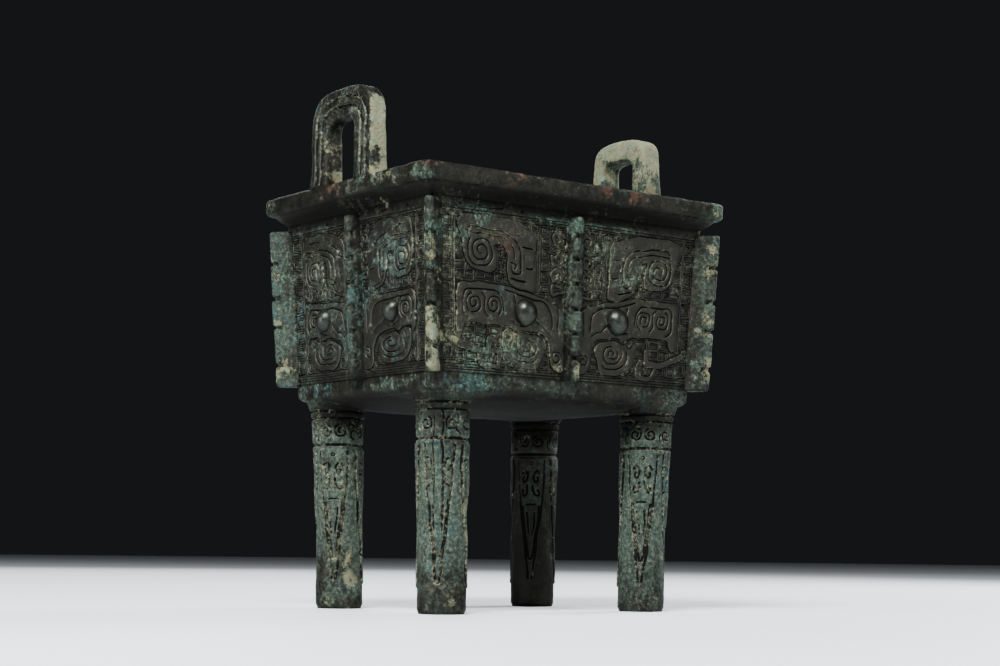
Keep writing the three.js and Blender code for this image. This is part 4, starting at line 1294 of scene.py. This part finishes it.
def flange_tree():
    """Rounded blocks, each drawn out from its own place on a flange's root line."""
    group, tree, given = geometry_tree(
        "Flange blocks",
        [("Sink", "NodeSocketFloat", 0.0034), ("Material", "NodeSocketMaterial", None)],
    )
    cube = tree.node("GeometryNodeMeshCube", {}, (2, 2, 2), 8, 10, 12)
    kept = tree.node("GeometryNodeStoreNamedAttribute", {"data_type": "FLOAT_VECTOR"}, cube, None,
                     "local", tree.node("GeometryNodeInputPosition"))
    stood = tree.node("GeometryNodeInstanceOnPoints", {}, given["Geometry"], None, kept)
    whole = tree.node("GeometryNodeRealizeInstances", {}, stood)

    local = read_mark(tree, "local", "FLOAT_VECTOR")
    signs = tree.vector("SIGN", local)
    sizes = tree.vector("POWER", tree.vector("ABSOLUTE", local), (0.5, 0.5, 0.5))
    x, y, z = tree.parts(tree.vector("MULTIPLY", signs, sizes))
    reach, root, tip, tall = (read_mark(tree, name) for name in ("reach", "root", "tip", "tall"))
    depth = (y * 0.5 + 0.5) * (reach + given["Sink"]) - given["Sink"]
    share = tree.node("ShaderNodeMapRange", {}, depth, 0.0, reach, 0.0, 1.0)
    wide = root + (tip - root) * share
    bare = tree.node("ShaderNodeCombineXYZ", {}, x * wide, depth, z * tall)
    soft = read_mark(tree, "soft")
    high = tree.node("ShaderNodeCombineXYZ", {}, wide - soft, reach - soft, tall - soft)
    low = tree.node("ShaderNodeCombineXYZ", {}, soft - wide, soft - given["Sink"], soft - tall)
    core = tree.vector("MAXIMUM", tree.vector("MINIMUM", bare, high), low)
    edge = tree.vector("NORMALIZE", tree.vector("SUBTRACT", bare, core))
    edge = tree.vector("SCALE", edge, Scale=soft)
    across, depth, up = tree.parts(tree.vector("ADD", core, edge))
    spot = read_mark(tree, "spot", "FLOAT_VECTOR")
    for way, size in (("out", depth), ("side", across), ("lean", up)):
        step = tree.vector("SCALE", read_mark(tree, way, "FLOAT_VECTOR"), Scale=size)
        spot = tree.vector("ADD", spot, step)
    shaped = tree.node("GeometryNodeSetPosition", {}, whole, Position=spot)
    finish_tree(tree, shaped, given)
    return group


def make_flanges(settings, material):
    """Four flanges at the corners and four down the walls' middles, each a row of blocks."""
    chance = np.random.default_rng(5)
    soft, half_slit = settings.rounding / MM, settings.slit_height / MM / 2
    foot, top = FLANGE_FOOT, FLANGE_TOP
    # Each block's root, outward way, lean, lower and upper end, reach, half thickness at its root
    # and its tip, and rounding
    rows = []

    def add(sx, sy, flange):
        """One flange: its solid foot, its thin web, and the blocks that the slits part."""
        root = (sx * WALL_LENGTH, sy * WALL_WIDTH)
        out = (sx / math.hypot(sx, sy), sy / math.hypot(sx, sy))
        lean = (sx * LEAN_LENGTH / PANEL_HEIGHT, sy * LEAN_WIDTH / PANEL_HEIGHT)
        reach = flange["reach"] * settings.reach_share
        wide, tip = flange["root"] / 2, flange["tip"] / 2
        rows.append((root, out, lean, foot + 0.2, top - 0.2, reach * 0.5, wide, (wide + tip) / 2,
                     soft))
        web = (root[0] - out[1] * flange["web"], root[1] + out[0] * flange["web"])
        rows.append((web, out, lean, foot + 2.0, top - 2.0, reach - 1.3, SLIT_WEB / 2,
                     SLIT_WEB / 2, 0.3))
        low = foot
        for slit in (*flange["slits"], top + half_slit):
            gap = half_slit * chance.uniform(0.8, 1.15)
            shift = chance.uniform(-0.25, 0.25) if slit < top else 0
            high = slit + shift - gap if slit < top else top
            wear = chance.uniform(0, 0.35)
            end = low == foot or high == top
            rows.append((root, out, lean, low, high, reach - wear, wide,
                         tip + chance.uniform(-0.12, 0.1), tip - 0.2 if end else soft))
            low = slit + shift + gap

    for side in (-1, 1):
        add(side, -1, CORNER_FLANGE)
        add(side, 1, CORNER_FLANGE)
        add(0, side, MIDDLE_FLANGE)
        add(side, 0, MIDDLE_FLANGE)
    marks = {name: ("FLOAT_VECTOR", []) for name in ("spot", "out", "side", "lean")}
    marks.update({name: ("FLOAT", []) for name in ("reach", "root", "tip", "tall", "soft")})
    for root, out, lean, low, high, *sizes in rows:
        middle = (low + high) / 2
        reach, wide, tip, rounding = np.array(sizes) * MM
        spot = np.array([root[0] + lean[0] * middle, root[1] + lean[1] * middle,
                         PANEL_FOOT + middle]) * MM
        values = (spot, (*out, 0), (out[1], -out[0], 0), (*lean, 1),
                  reach, wide, tip, (high - low) / 2 * MM, rounding)
        for (_, column), value in zip(marks.values(), values):
            column.append(value)
    flanges = grow("flanges", marks["spot"][1], marks, flange_tree(),
                   {"Sink": FLANGE_SINK * MM, "Material": material})
    layers = flanges.data.attributes
    for name in ("local", *marks):
        if name in layers:
            layers.remove(layers[name])
    corners = read_corners(flanges)
    corners += 0.09 * drift(corners, 7, 41) * (np.abs(corners[:, :1]) < STEADY_FROM)
    write_corners(flanges, corners)
    weather(flanges, corners)
    close_up(flanges, 1e-7)
    return flanges


# Handles

# Each handle in millimetres: the side it stands on, its arch, thickness at foot and top, opening,
# and how far in from its edge the grooves run
LEFT_HANDLE = {"side": -1, "width": 47.5, "narrowing": 0, "centre": 1.15, "height": 40.5,
               "rise": 15.0, "foot": 9.2, "top": 7.4, "opening": 20.3, "opening_centre": 1.7,
               "opening_height": 27.4, "opening_rise": 7.2, "grooves": (3.6, 7.6)}
RIGHT_HANDLE = {"side": 1, "width": 40.6, "narrowing": 2.2, "centre": -1.6, "height": 37.4,
                "rise": 11.0, "foot": 11.2, "top": 10.4, "opening": 20.3, "opening_centre": -1.2,
                "opening_height": 27.5, "opening_rise": 6.2, "grooves": (3.6, 7.6)}
# How deep the handles' feet sink into the rim, where their outer faces stand, and how high the
# taller one reaches
HANDLE_SINK = 1.2
HANDLE_FACE = RIM_LENGTH - 0.3
HANDLE_TOP = RIM_TOP + LEFT_HANDLE["height"]


def arch(half, narrowing, centre, height, rise, foot=-HANDLE_SINK):
    """A squared arch from its right foot over to its left one."""
    angle = np.linspace(0, math.pi, 200)
    c, s = np.cos(angle), np.sin(angle)
    top = np.column_stack([
        centre + np.sign(c) * np.abs(c) ** (2 / 3) * (half - narrowing),
        height - rise + s ** (2 / 3) * rise,
    ])
    line = np.vstack([(centre + half, foot), top, (centre - half, foot)])
    run = np.concatenate([[0], np.cumsum(np.linalg.norm(np.diff(line, axis=0), axis=1))])
    even = np.linspace(0, run[-1], int(run[-1] / 0.9))
    return np.column_stack([np.interp(even, run, line[:, k]) for k in (0, 1)])


def make_handle(name, handle, settings, material, seed):
    """An upright loop: a grooved outer face, a plain inner one, and the rounded skin between."""
    groove, centre = settings.groove_width / MM, handle["centre"]

    def bow(inset, rise, **more):
        return arch(handle["width"] / 2 - inset, handle["narrowing"], centre,
                    handle["height"] - inset, handle["rise"] - rise, **more)

    hole = arch(handle["opening"] / 2, 0, handle["opening_centre"], handle["opening_height"],
                handle["opening_rise"])
    outline = np.vstack([bow(0, 0), hole[::-1]])
    corners, faces, hollows, rims = [], [], [], []
    start = 0
    for inner in (False, True):
        relief = Relief(outline.min(0), outline.max(0), 0, 0, settings.groove_depth / MM, 0,
                        grain=1.6, cuts_ground=True, outline=outline)
        for inset in () if inner else handle["grooves"]:
            middle = inset + groove / 2
            relief.add_cut(bow(middle, middle * 0.6, foot=0.4), groove)
        flat, height, hollow, triangles = relief.mesh()
        drop = rounded(gap_to(flat, strokes([outline], True)), ROUNDING[-1])
        uneven = waves(flat, 13, seed + inner) * 0.12 + waves(flat, 5, seed + 2 + inner) * 0.05
        rise = height - drop + np.minimum(uneven, 0.2)
        up = np.maximum(flat[:, 1], 0)
        thick = handle["foot"] + (handle["top"] - handle["foot"]) * up / handle["height"]
        x = HANDLE_FACE - thick - rise if inner else HANDLE_FACE + np.minimum(rise, 0.15)
        across = flat[:, 0] - centre
        uprights = np.abs(across) > handle["opening"] * 0.62
        y = centre + across * np.where(uprights, 1 + 0.045 * np.exp(-up / 2.2), 1)
        corners.append(np.column_stack([handle["side"] * x, y, RIM_TOP + flat[:, 1]]))
        hollows.append(hollow)
        faces.extend((triangles + start).tolist())
        rims.append([start + int(np.argmin(np.linalg.norm(flat - p, axis=1))) for p in outline])
        start += len(flat)
    placed = np.vstack(corners)
    first, last = placed[rims[0]], placed[rims[1]]
    columns = [rims[0]]
    for share in (0.25, 0.5, 0.75):
        row = first + (last - first) * share
        push = waves(row, 9, seed + 7) * 0.15
        row[:, 1:] += unit(row[:, 1:] - (centre, RIM_TOP + 8)) * push[:, None]
        corners.append(row)
        hollows.append(np.zeros(len(row)))
        columns.append(range(start, start + len(row)))
        start += len(row)
    columns.append(rims[1])
    for a, b in zip(columns, columns[1:]):
        faces.extend(bridge(a, b, closed=True))
    placed = np.vstack(corners)
    placed[:, 2] = np.minimum(placed[:, 2], HANDLE_TOP)
    piece = make_piece(name, placed, faces, material, hollow=np.concatenate(hollows))
    close_up(piece)
    return piece


# Finishes


def tone(code):
    """A colour written as on a paint card, made linear."""
    parts = [int(code[i : i + 2], 16) / 255 for i in (0, 2, 4)]
    return tuple(p / 12.92 if p <= 0.04045 else ((p + 0.055) / 1.055) ** 2.4 for p in parts) + (1.0,)


def make_bronze(name, settings, patina=1.0, sheen=0.0):
    """Old bronze: dark metal, green and blue patina, pale crust, dirt in the cut lines, painted shade
    under and inside the vessel and on the back right leg, and a painted highlight along the cut
    lines' sides.
    """
    material = bpy.data.materials.new(name)
    material.use_nodes = True
    material.node_tree.nodes.clear()
    tree = Tree(material.node_tree)
    spot = tree.vector("SCALE", tree.node("ShaderNodeTexCoord", out="Object"), Scale=1 / MM)

    def noise(scale, detail, rough=0.6, shift=0.0):
        moved = tree.vector("ADD", spot, (shift, shift * 0.7, -shift))
        return tree.node("ShaderNodeTexNoise", {}, None, None, Vector=moved, Scale=scale,
                         Detail=detail, Roughness=rough, out="Fac")

    def read(name):
        return tree.node("ShaderNodeAttribute", {"attribute_name": name}, out="Fac")

    def patch(base, name, pull, low, high):
        return tree.rise(base + read(name) * pull, low, high)

    broad, blot, speck, grain = noise(0.035, 5), noise(0.15, 6, 0.68), noise(0.7, 5), noise(3.0, 3)
    other, third = noise(0.22, 6, 0.7, 40.0), noise(0.11, 6, 0.66, 90.0)
    fine = speck * 0.55 + grain * 0.45
    hollow, top = read("hollow"), read("top")
    cut = tree.rise(hollow, 0.12, 0.6)
    edge = hollow * (1 - hollow) * 4

    green = patch(blot * 0.45 + fine * 0.2 + broad * 0.35, "green", 0.1, 0.55, 0.64) * patina
    blue = patch(other * 0.6 + fine * 0.2 + broad * 0.2, "blue", 0.14, 0.58, 0.68) * patina
    bare = third * 0.55 + fine * 0.25 + blot * 0.2 - read("rust") * 0.16
    crust = patch(bare, "crust", 0.2, 0.61, 0.67) * patina
    rust = patch(other * 0.5 + fine * 0.3 + third * 0.2, "rust", 0.14, 0.59, 0.66) * patina
    wash = patch(broad * 0.4 + other * 0.35 + fine * 0.25, "wash", 0.22, 0.52, 0.70) * patina
    granules = tree.rise(grain * 0.5 + speck * 0.5, 0.49, 0.58)
    dusty = patch(third * 0.5 + speck * 0.3 + other * 0.2, "dust", 0.12, 0.54, 0.62)
    # Painted shade: darkens and dulls the metal under the belly and the flaring lip, inside the
    # vessel and on the back right leg
    soot = patch(fine * 0.3 + blot * 0.3, "soot", 0.7, 0.45, 0.75) * (1 - sheen)

    def blend(base, low, high, first, second):
        return tree.mix(tree.rise(base, low, high), first, second)

    pale = patch(fine * 0.6 + blot * 0.4, "crust", 0.2, 0.58, 0.92)
    crusted = tree.mix(tree.rise(other * 0.6 + fine * 0.4, 0.5, 0.58) * 0.55,
                       tree.mix(pale, settings.buff, settings.cream), settings.pale_green)
    colour = blend(fine * 0.5 + blot * 0.5, 0.4, 0.62, settings.dark_metal, settings.brown_metal)
    # How much of each layer shows over the bare metal, from the lowest layer up
    for share, layer in (
        (sheen * 0.8, settings.rubbed_metal),
        (tree.rise(top, 0.6, 0.95) * 0.6, settings.plate_metal),
        # Painted highlight along the sides of the cut lines: lighter metal that is partly burnished
        # wear
        (edge * 0.4, settings.edge_highlight_and_wear),
        (wash * 0.8, blend(fine, 0.42, 0.6, settings.wash, settings.pale_wash)),
        (green * 0.7, blend(fine, 0.48, 0.62, settings.green, settings.pale_green)),
        (blue * 0.65, blend(fine, 0.52, 0.66, settings.blue, settings.pale_green)),
        (rust * 0.75, settings.red),
        # Painted shade, in the dark dirt colour
        (soot * 0.9, settings.dirt_and_painted_shade),
        (tree.rise(hollow, 0.28, 0.66) * 0.97, settings.dirt_and_painted_shade),
        (dusty * (edge * 0.5 + cut * 0.3 + 0.12) * (granules * 0.85 + 0.15),
         blend(blot, 0.45, 0.55, settings.dust, settings.cream)),
        (crust * (1 - cut * 0.6) * 0.9, crusted),
    ):
        colour = tree.mix(share, colour, layer)
    covered = green.most(blue).most(crust).most(rust).most(cut).most(soot).most(wash * 0.8)
    rough = 0.42 - 0.12 * sheen + speck * 0.16 + covered * 0.32 - top * 0.06 + soot * 0.2
    rise = speck * (0.5 + crust * 0.9) + grain * 0.3 + crust * 0.9 + green * 0.3 + blot * 0.4
    bump = tree.node("ShaderNodeBump", {}, 0.6 - 0.35 * sheen, 0.0006, None, Height=rise)
    shader = tree.node("ShaderNodeBsdfPrincipled", Base_Color=colour, Roughness=rough, Normal=bump,
                       Metallic=(0.7 + 0.2 * sheen) * (1 - covered), Specular_IOR_Level=0.06,
                       Specular_Tint=(0.4, 0.4, 0.4, 1.0))
    tree.feed(tree.nodes.new("ShaderNodeOutputMaterial").inputs[0], shader)
    return material


# Stage

# The camera's place in metres and its view, found from the picture's perspective
CAMERA_PLACE = (-0.5186, -0.6949, 0.0268)
CAMERA_AIM = (0.59736, 0.79453, 0.10971)
CAMERA_ROLL = math.radians(-0.637)
CAMERA_LENS = 70.32
FLOOR_REACH = 4.0
FLOOR_SIDES = 96
# Each light's name, place, aim, size, share of the settings' power, and colour
LIGHTS = (
    ("key", (-0.62, -0.5, 1.05), (0, 0, 0.13), 0.42, 1.0, (1.0, 1.0, 0.99)),
    ("side", (0.45, -1.05, 0.5), (0, 0, 0.12), 0.9, 0.2, (0.94, 0.97, 1.0)),
    ("edge", (0.95, 0.1, 0.6), (0, 0, 0.14), 0.4, 0.45, (1.0, 0.99, 0.97)),
    ("left", (-1.15, 0.05, 0.3), (0, 0, 0.1), 0.5, 0.25, (0.95, 0.98, 1.0)),
    ("back", (0.35, 1.15, 0.7), (0, 0, 0.12), 0.8, 0.22, (0.96, 0.98, 1.0)),
)


def make_stage(settings):
    """A round floor, five soft lights, a dim backdrop and the camera."""
    floor = bpy.data.meshes.new("studio_floor")
    turns = np.linspace(0, 2 * math.pi, FLOOR_SIDES, endpoint=False)
    floor.from_pydata([(FLOOR_REACH * math.cos(t), FLOOR_REACH * math.sin(t), 0) for t in turns],
                      [], [list(range(FLOOR_SIDES))])
    stage = place("studio_floor", floor)
    paper = bpy.data.materials.new("Pale studio paper")
    paper.use_nodes = True
    shader = paper.node_tree.nodes["Principled BSDF"]
    shader.inputs["Base Color"].default_value = (*settings.floor_colour, 1)
    shader.inputs["Roughness"].default_value = 0.6
    floor.materials.append(paper)

    for name, spot, aim, size, share, colour in LIGHTS:
        light = bpy.data.lights.new(name, "AREA")
        light.shape, light.size = "SQUARE", size
        light.energy = settings.light_power * share
        light.color = colour
        lamp = place(name, light)
        lamp.location = spot
        lamp.rotation_mode = "QUATERNION"
        lamp.rotation_quaternion = (Vector(aim) - Vector(spot)).to_track_quat("-Z", "Y")

    world = bpy.context.scene.world or bpy.data.worlds.new("studio")
    bpy.context.scene.world = world
    world.use_nodes = True
    backdrop = world.node_tree.nodes["Background"]
    backdrop.inputs["Color"].default_value = (*settings.backdrop_colour, 1)
    backdrop.inputs["Strength"].default_value = settings.backdrop_strength

    lens = bpy.data.cameras.new("camera")
    lens.sensor_width, lens.lens = 36, CAMERA_LENS
    camera = place("camera", lens)
    ahead = Vector(CAMERA_AIM).normalized()
    right = ahead.cross(Vector((0, 0, 1))).normalized()
    turn = Matrix((right, right.cross(ahead), -ahead)).transposed()
    camera.matrix_world = (
        Matrix.Translation(CAMERA_PLACE) @ Matrix.Rotation(CAMERA_ROLL, 4, ahead) @ turn.to_4x4()
    )
    bpy.context.scene.camera = camera


# Settings, operators and panel


def length(name, description, default):
    """A size in metres."""
    return bpy.props.FloatProperty(name=name, description=description, default=default,
                                   unit="LENGTH", precision=4, min=0)


def paint(name, description, code, size=4):
    """A colour given as on a paint card."""
    return bpy.props.FloatVectorProperty(name=name, description=description, subtype="COLOR",
                                         size=size, default=tone(code)[:size], min=0, max=1)


class DING_PG_casting(bpy.types.PropertyGroup):
    wall_thickness: length("Wall", "Thickness of the vessel's wall", 0.0042)
    lip_rounding: length("Lip rounding", "How softly the rim's edges are rounded", 0.0021)
    plate_height: length("Plates", "How far the masks stand off their ground", 0.0007)
    channel_depth: length("Channels", "Depth of the channel round each plate", 0.0003)
    cut_depth: length("Cuts", "Depth of the lines cut into the plates", 0.00095)
    scroll_depth: length("Scrolls", "Depth of the lightning scrolls on the ground", 0.0006)
    scroll_pitch: length("Scroll pitch", "Distance between a scroll's turns", 0.00105)


class DING_PG_legs(bpy.types.PropertyGroup):
    blade_height: length("Blades", "How far the hanging blades stand off the leg", 0.0006)
    leg_cut_depth: length("Cuts", "Depth of the lines cut into the legs", 0.00075)


class DING_PG_flanges(bpy.types.PropertyGroup):
    slit_height: length("Slits", "Height of the slits between the flanges' blocks", 0.0016)
    rounding: length("Rounding", "Rounding of the blocks", 0.001)
    reach_share: bpy.props.FloatProperty(
        name="Reach", description="How far the flanges stand out, as a share of the casting's",
        default=1.0, min=0.2, max=1.0, subtype="FACTOR")


class DING_PG_eyes(bpy.types.PropertyGroup):
    half_width: length("Half width", "Half the width of an eye boss", 0.0055)
    half_height: length("Half height", "Half the height of an eye boss", 0.0060)
    reach: length("Reach", "How far an eye boss stands off the wall", 0.0056)
    side_share: bpy.props.FloatProperty(
        name="Side bosses", description="Size of the short walls' bosses, as a share",
        default=0.84, min=0.2, max=1.0, subtype="FACTOR")


class DING_PG_handles(bpy.types.PropertyGroup):
    groove_width: length("Groove width", "Width of the grooves that follow the arch", 0.0015)
    groove_depth: length("Groove depth", "Depth of the grooves that follow the arch", 0.001)


class DING_PG_finish(bpy.types.PropertyGroup):
    dark_metal: paint("Dark metal", "The metal where it is darkest", "161816")
    brown_metal: paint("Brown metal", "The metal where it is warmer", "2A2823")
    plate_metal: paint("Plates", "The masks' smooth plates", "2A2925")
    # A painted highlight along the cut lines' sides, partly burnished wear
    edge_highlight_and_wear: paint("Edge highlight and wear", "The metal along the edges of the lines", "52524B")
    rubbed_metal: paint("Rubbed metal", "The bosses' rubbed metal", "30322F")
    wash: paint("Wash", "The thin grey-green patina", "27302B")
    pale_wash: paint("Pale wash", "The thin patina where it is thickest", "434F46")
    green: paint("Green", "Green patina", "232F28")
    pale_green: paint("Pale green", "Powdery green patina", "566C5E")
    blue: paint("Blue", "Blue-green patina", "233637")
    red: paint("Red", "Red-brown patina", "38271D")
    cream: paint("Cream", "Pale crust", "7B7D68")
    buff: paint("Buff", "Darker crust", "565440")
    # The same dark colour also paints the shade under and inside the vessel and on the back right leg
    dirt_and_painted_shade: paint("Dirt", "Dirt in the cut lines", "0A0908")
    dust: paint("Dust", "Pale deposit in the cut lines", "727562")


class DING_PG_stage(bpy.types.PropertyGroup):
    floor_colour: paint("Floor", "The studio floor", "CDD2D8", 3)
    backdrop_colour: paint("Backdrop", "The studio's backdrop", "7C8088", 3)
    backdrop_strength: bpy.props.FloatProperty(
        name="Backdrop strength", description="Brightness of the backdrop", default=0.05, min=0)
    light_power: bpy.props.FloatProperty(
        name="Light", description="Power of the main light", default=54.0, min=0, unit="POWER")


def bronze():
    """The casting's one bronze, made when it is first asked for."""
    return bpy.data.materials.get("Old bronze") or make_bronze(
        "Old bronze", bpy.context.scene.ding_finish)


class DING_OT_vessel(bpy.types.Operator):
    """Builds the vessel's rim, skirt, underside and inside"""

    bl_idname = "ding.vessel"
    bl_label = "Vessel"

    def execute(self, context):
        hand_in(make_vessel(context.scene.ding_casting, bronze()))
        return {"FINISHED"}


class DING_OT_walls(bpy.types.Operator):
    """Builds the four walls' masks and lightning ground"""

    bl_idname = "ding.walls"
    bl_label = "Masks"

    def execute(self, context):
        settings = context.scene.ding_casting
        masks = {True: wall_relief(LONG_MASK, MID_LENGTH - WALL_MARGIN, settings).mesh(),
                 False: wall_relief(SHORT_MASK, MID_WIDTH - WALL_MARGIN, settings).mesh()}
        for seed, (name, long, facing) in enumerate((
            ("wall_front", True, -1), ("wall_back", True, 1),
            ("wall_left", False, -1), ("wall_right", False, 1),
        )):
            hand_in(make_wall(name, long, facing, masks[long], bronze(), seed + 1))
        return {"FINISHED"}


class DING_OT_flanges(bpy.types.Operator):
    """Builds the slit flanges at the corners and down the middles of the walls"""

    bl_idname = "ding.flanges"
    bl_label = "Flanges"

    def execute(self, context):
        hand_in(make_flanges(context.scene.ding_flanges, bronze()))
        return {"FINISHED"}


class DING_OT_eyes(bpy.types.Operator):
    """Builds the polished bosses of the masks' eyes"""

    bl_idname = "ding.eyes"
    bl_label = "Eyes"

    def execute(self, context):
        worn = make_bronze("Rubbed bronze", context.scene.ding_finish, patina=0.35, sheen=1.0)
        hand_in(make_eyes(context.scene.ding_eyes, worn))
        return {"FINISHED"}


class DING_OT_legs(bpy.types.Operator):
    """Builds the four legs with their mask bands and hanging blades"""

    bl_idname = "ding.legs"
    bl_label = "Legs"

    def execute(self, context):
        hand_in(make_legs(context.scene.ding_legs, bronze()))
        return {"FINISHED"}


class DING_OT_handles(bpy.types.Operator):
    """Builds the two arched handles on the rim"""

    bl_idname = "ding.handles"
    bl_label = "Handles"

    def execute(self, context):
        settings = context.scene.ding_handles
        hand_in(make_handle("handle_left", LEFT_HANDLE, settings, bronze(), 51))
        hand_in(make_handle("handle_right", RIGHT_HANDLE, settings, bronze(), 61))
        return {"FINISHED"}


class DING_OT_stage(bpy.types.Operator):
    """Sets up the floor, the lights and the camera"""

    bl_idname = "ding.stage"
    bl_label = "Studio"

    def execute(self, context):
        make_stage(context.scene.ding_stage)
        return {"FINISHED"}


class DING_PT_panel(bpy.types.Panel):
    """Lists what the ding is built from"""

    bl_idname = "DING_PT_panel"
    bl_label = "Square bronze ding"
    bl_space_type = "VIEW_3D"
    bl_region_type = "UI"
    bl_category = "Ding"

    def draw(self, context):
        for group in GROUPS:
            box = self.layout.box()
            owner = getattr(context.scene, group)
            for name in owner.__annotations__:
                box.prop(owner, name)
        for operator in OPERATORS:
            self.layout.operator(operator.bl_idname)


GROUPS = {
    "ding_casting": DING_PG_casting, "ding_legs": DING_PG_legs, "ding_flanges": DING_PG_flanges,
    "ding_eyes": DING_PG_eyes, "ding_handles": DING_PG_handles, "ding_finish": DING_PG_finish,
    "ding_stage": DING_PG_stage,
}
OPERATORS = (DING_OT_vessel, DING_OT_walls, DING_OT_flanges, DING_OT_eyes, DING_OT_legs,
             DING_OT_handles, DING_OT_stage)


def register():
    for cls in (*GROUPS.values(), *OPERATORS, DING_PT_panel):
        bpy.utils.register_class(cls)
    for name, group in GROUPS.items():
        setattr(bpy.types.Scene, name, bpy.props.PointerProperty(type=group))


def unregister():
    for name in GROUPS:
        delattr(bpy.types.Scene, name)
    for cls in reversed((*GROUPS.values(), *OPERATORS, DING_PT_panel)):
        bpy.utils.unregister_class(cls)


def main():
    """Builds every piece and the stage."""
    register()
    for operator in OPERATORS:
        family, name = operator.bl_idname.split(".")
        getattr(getattr(bpy.ops, family), name)()


if __name__ == "__main__":
    main()
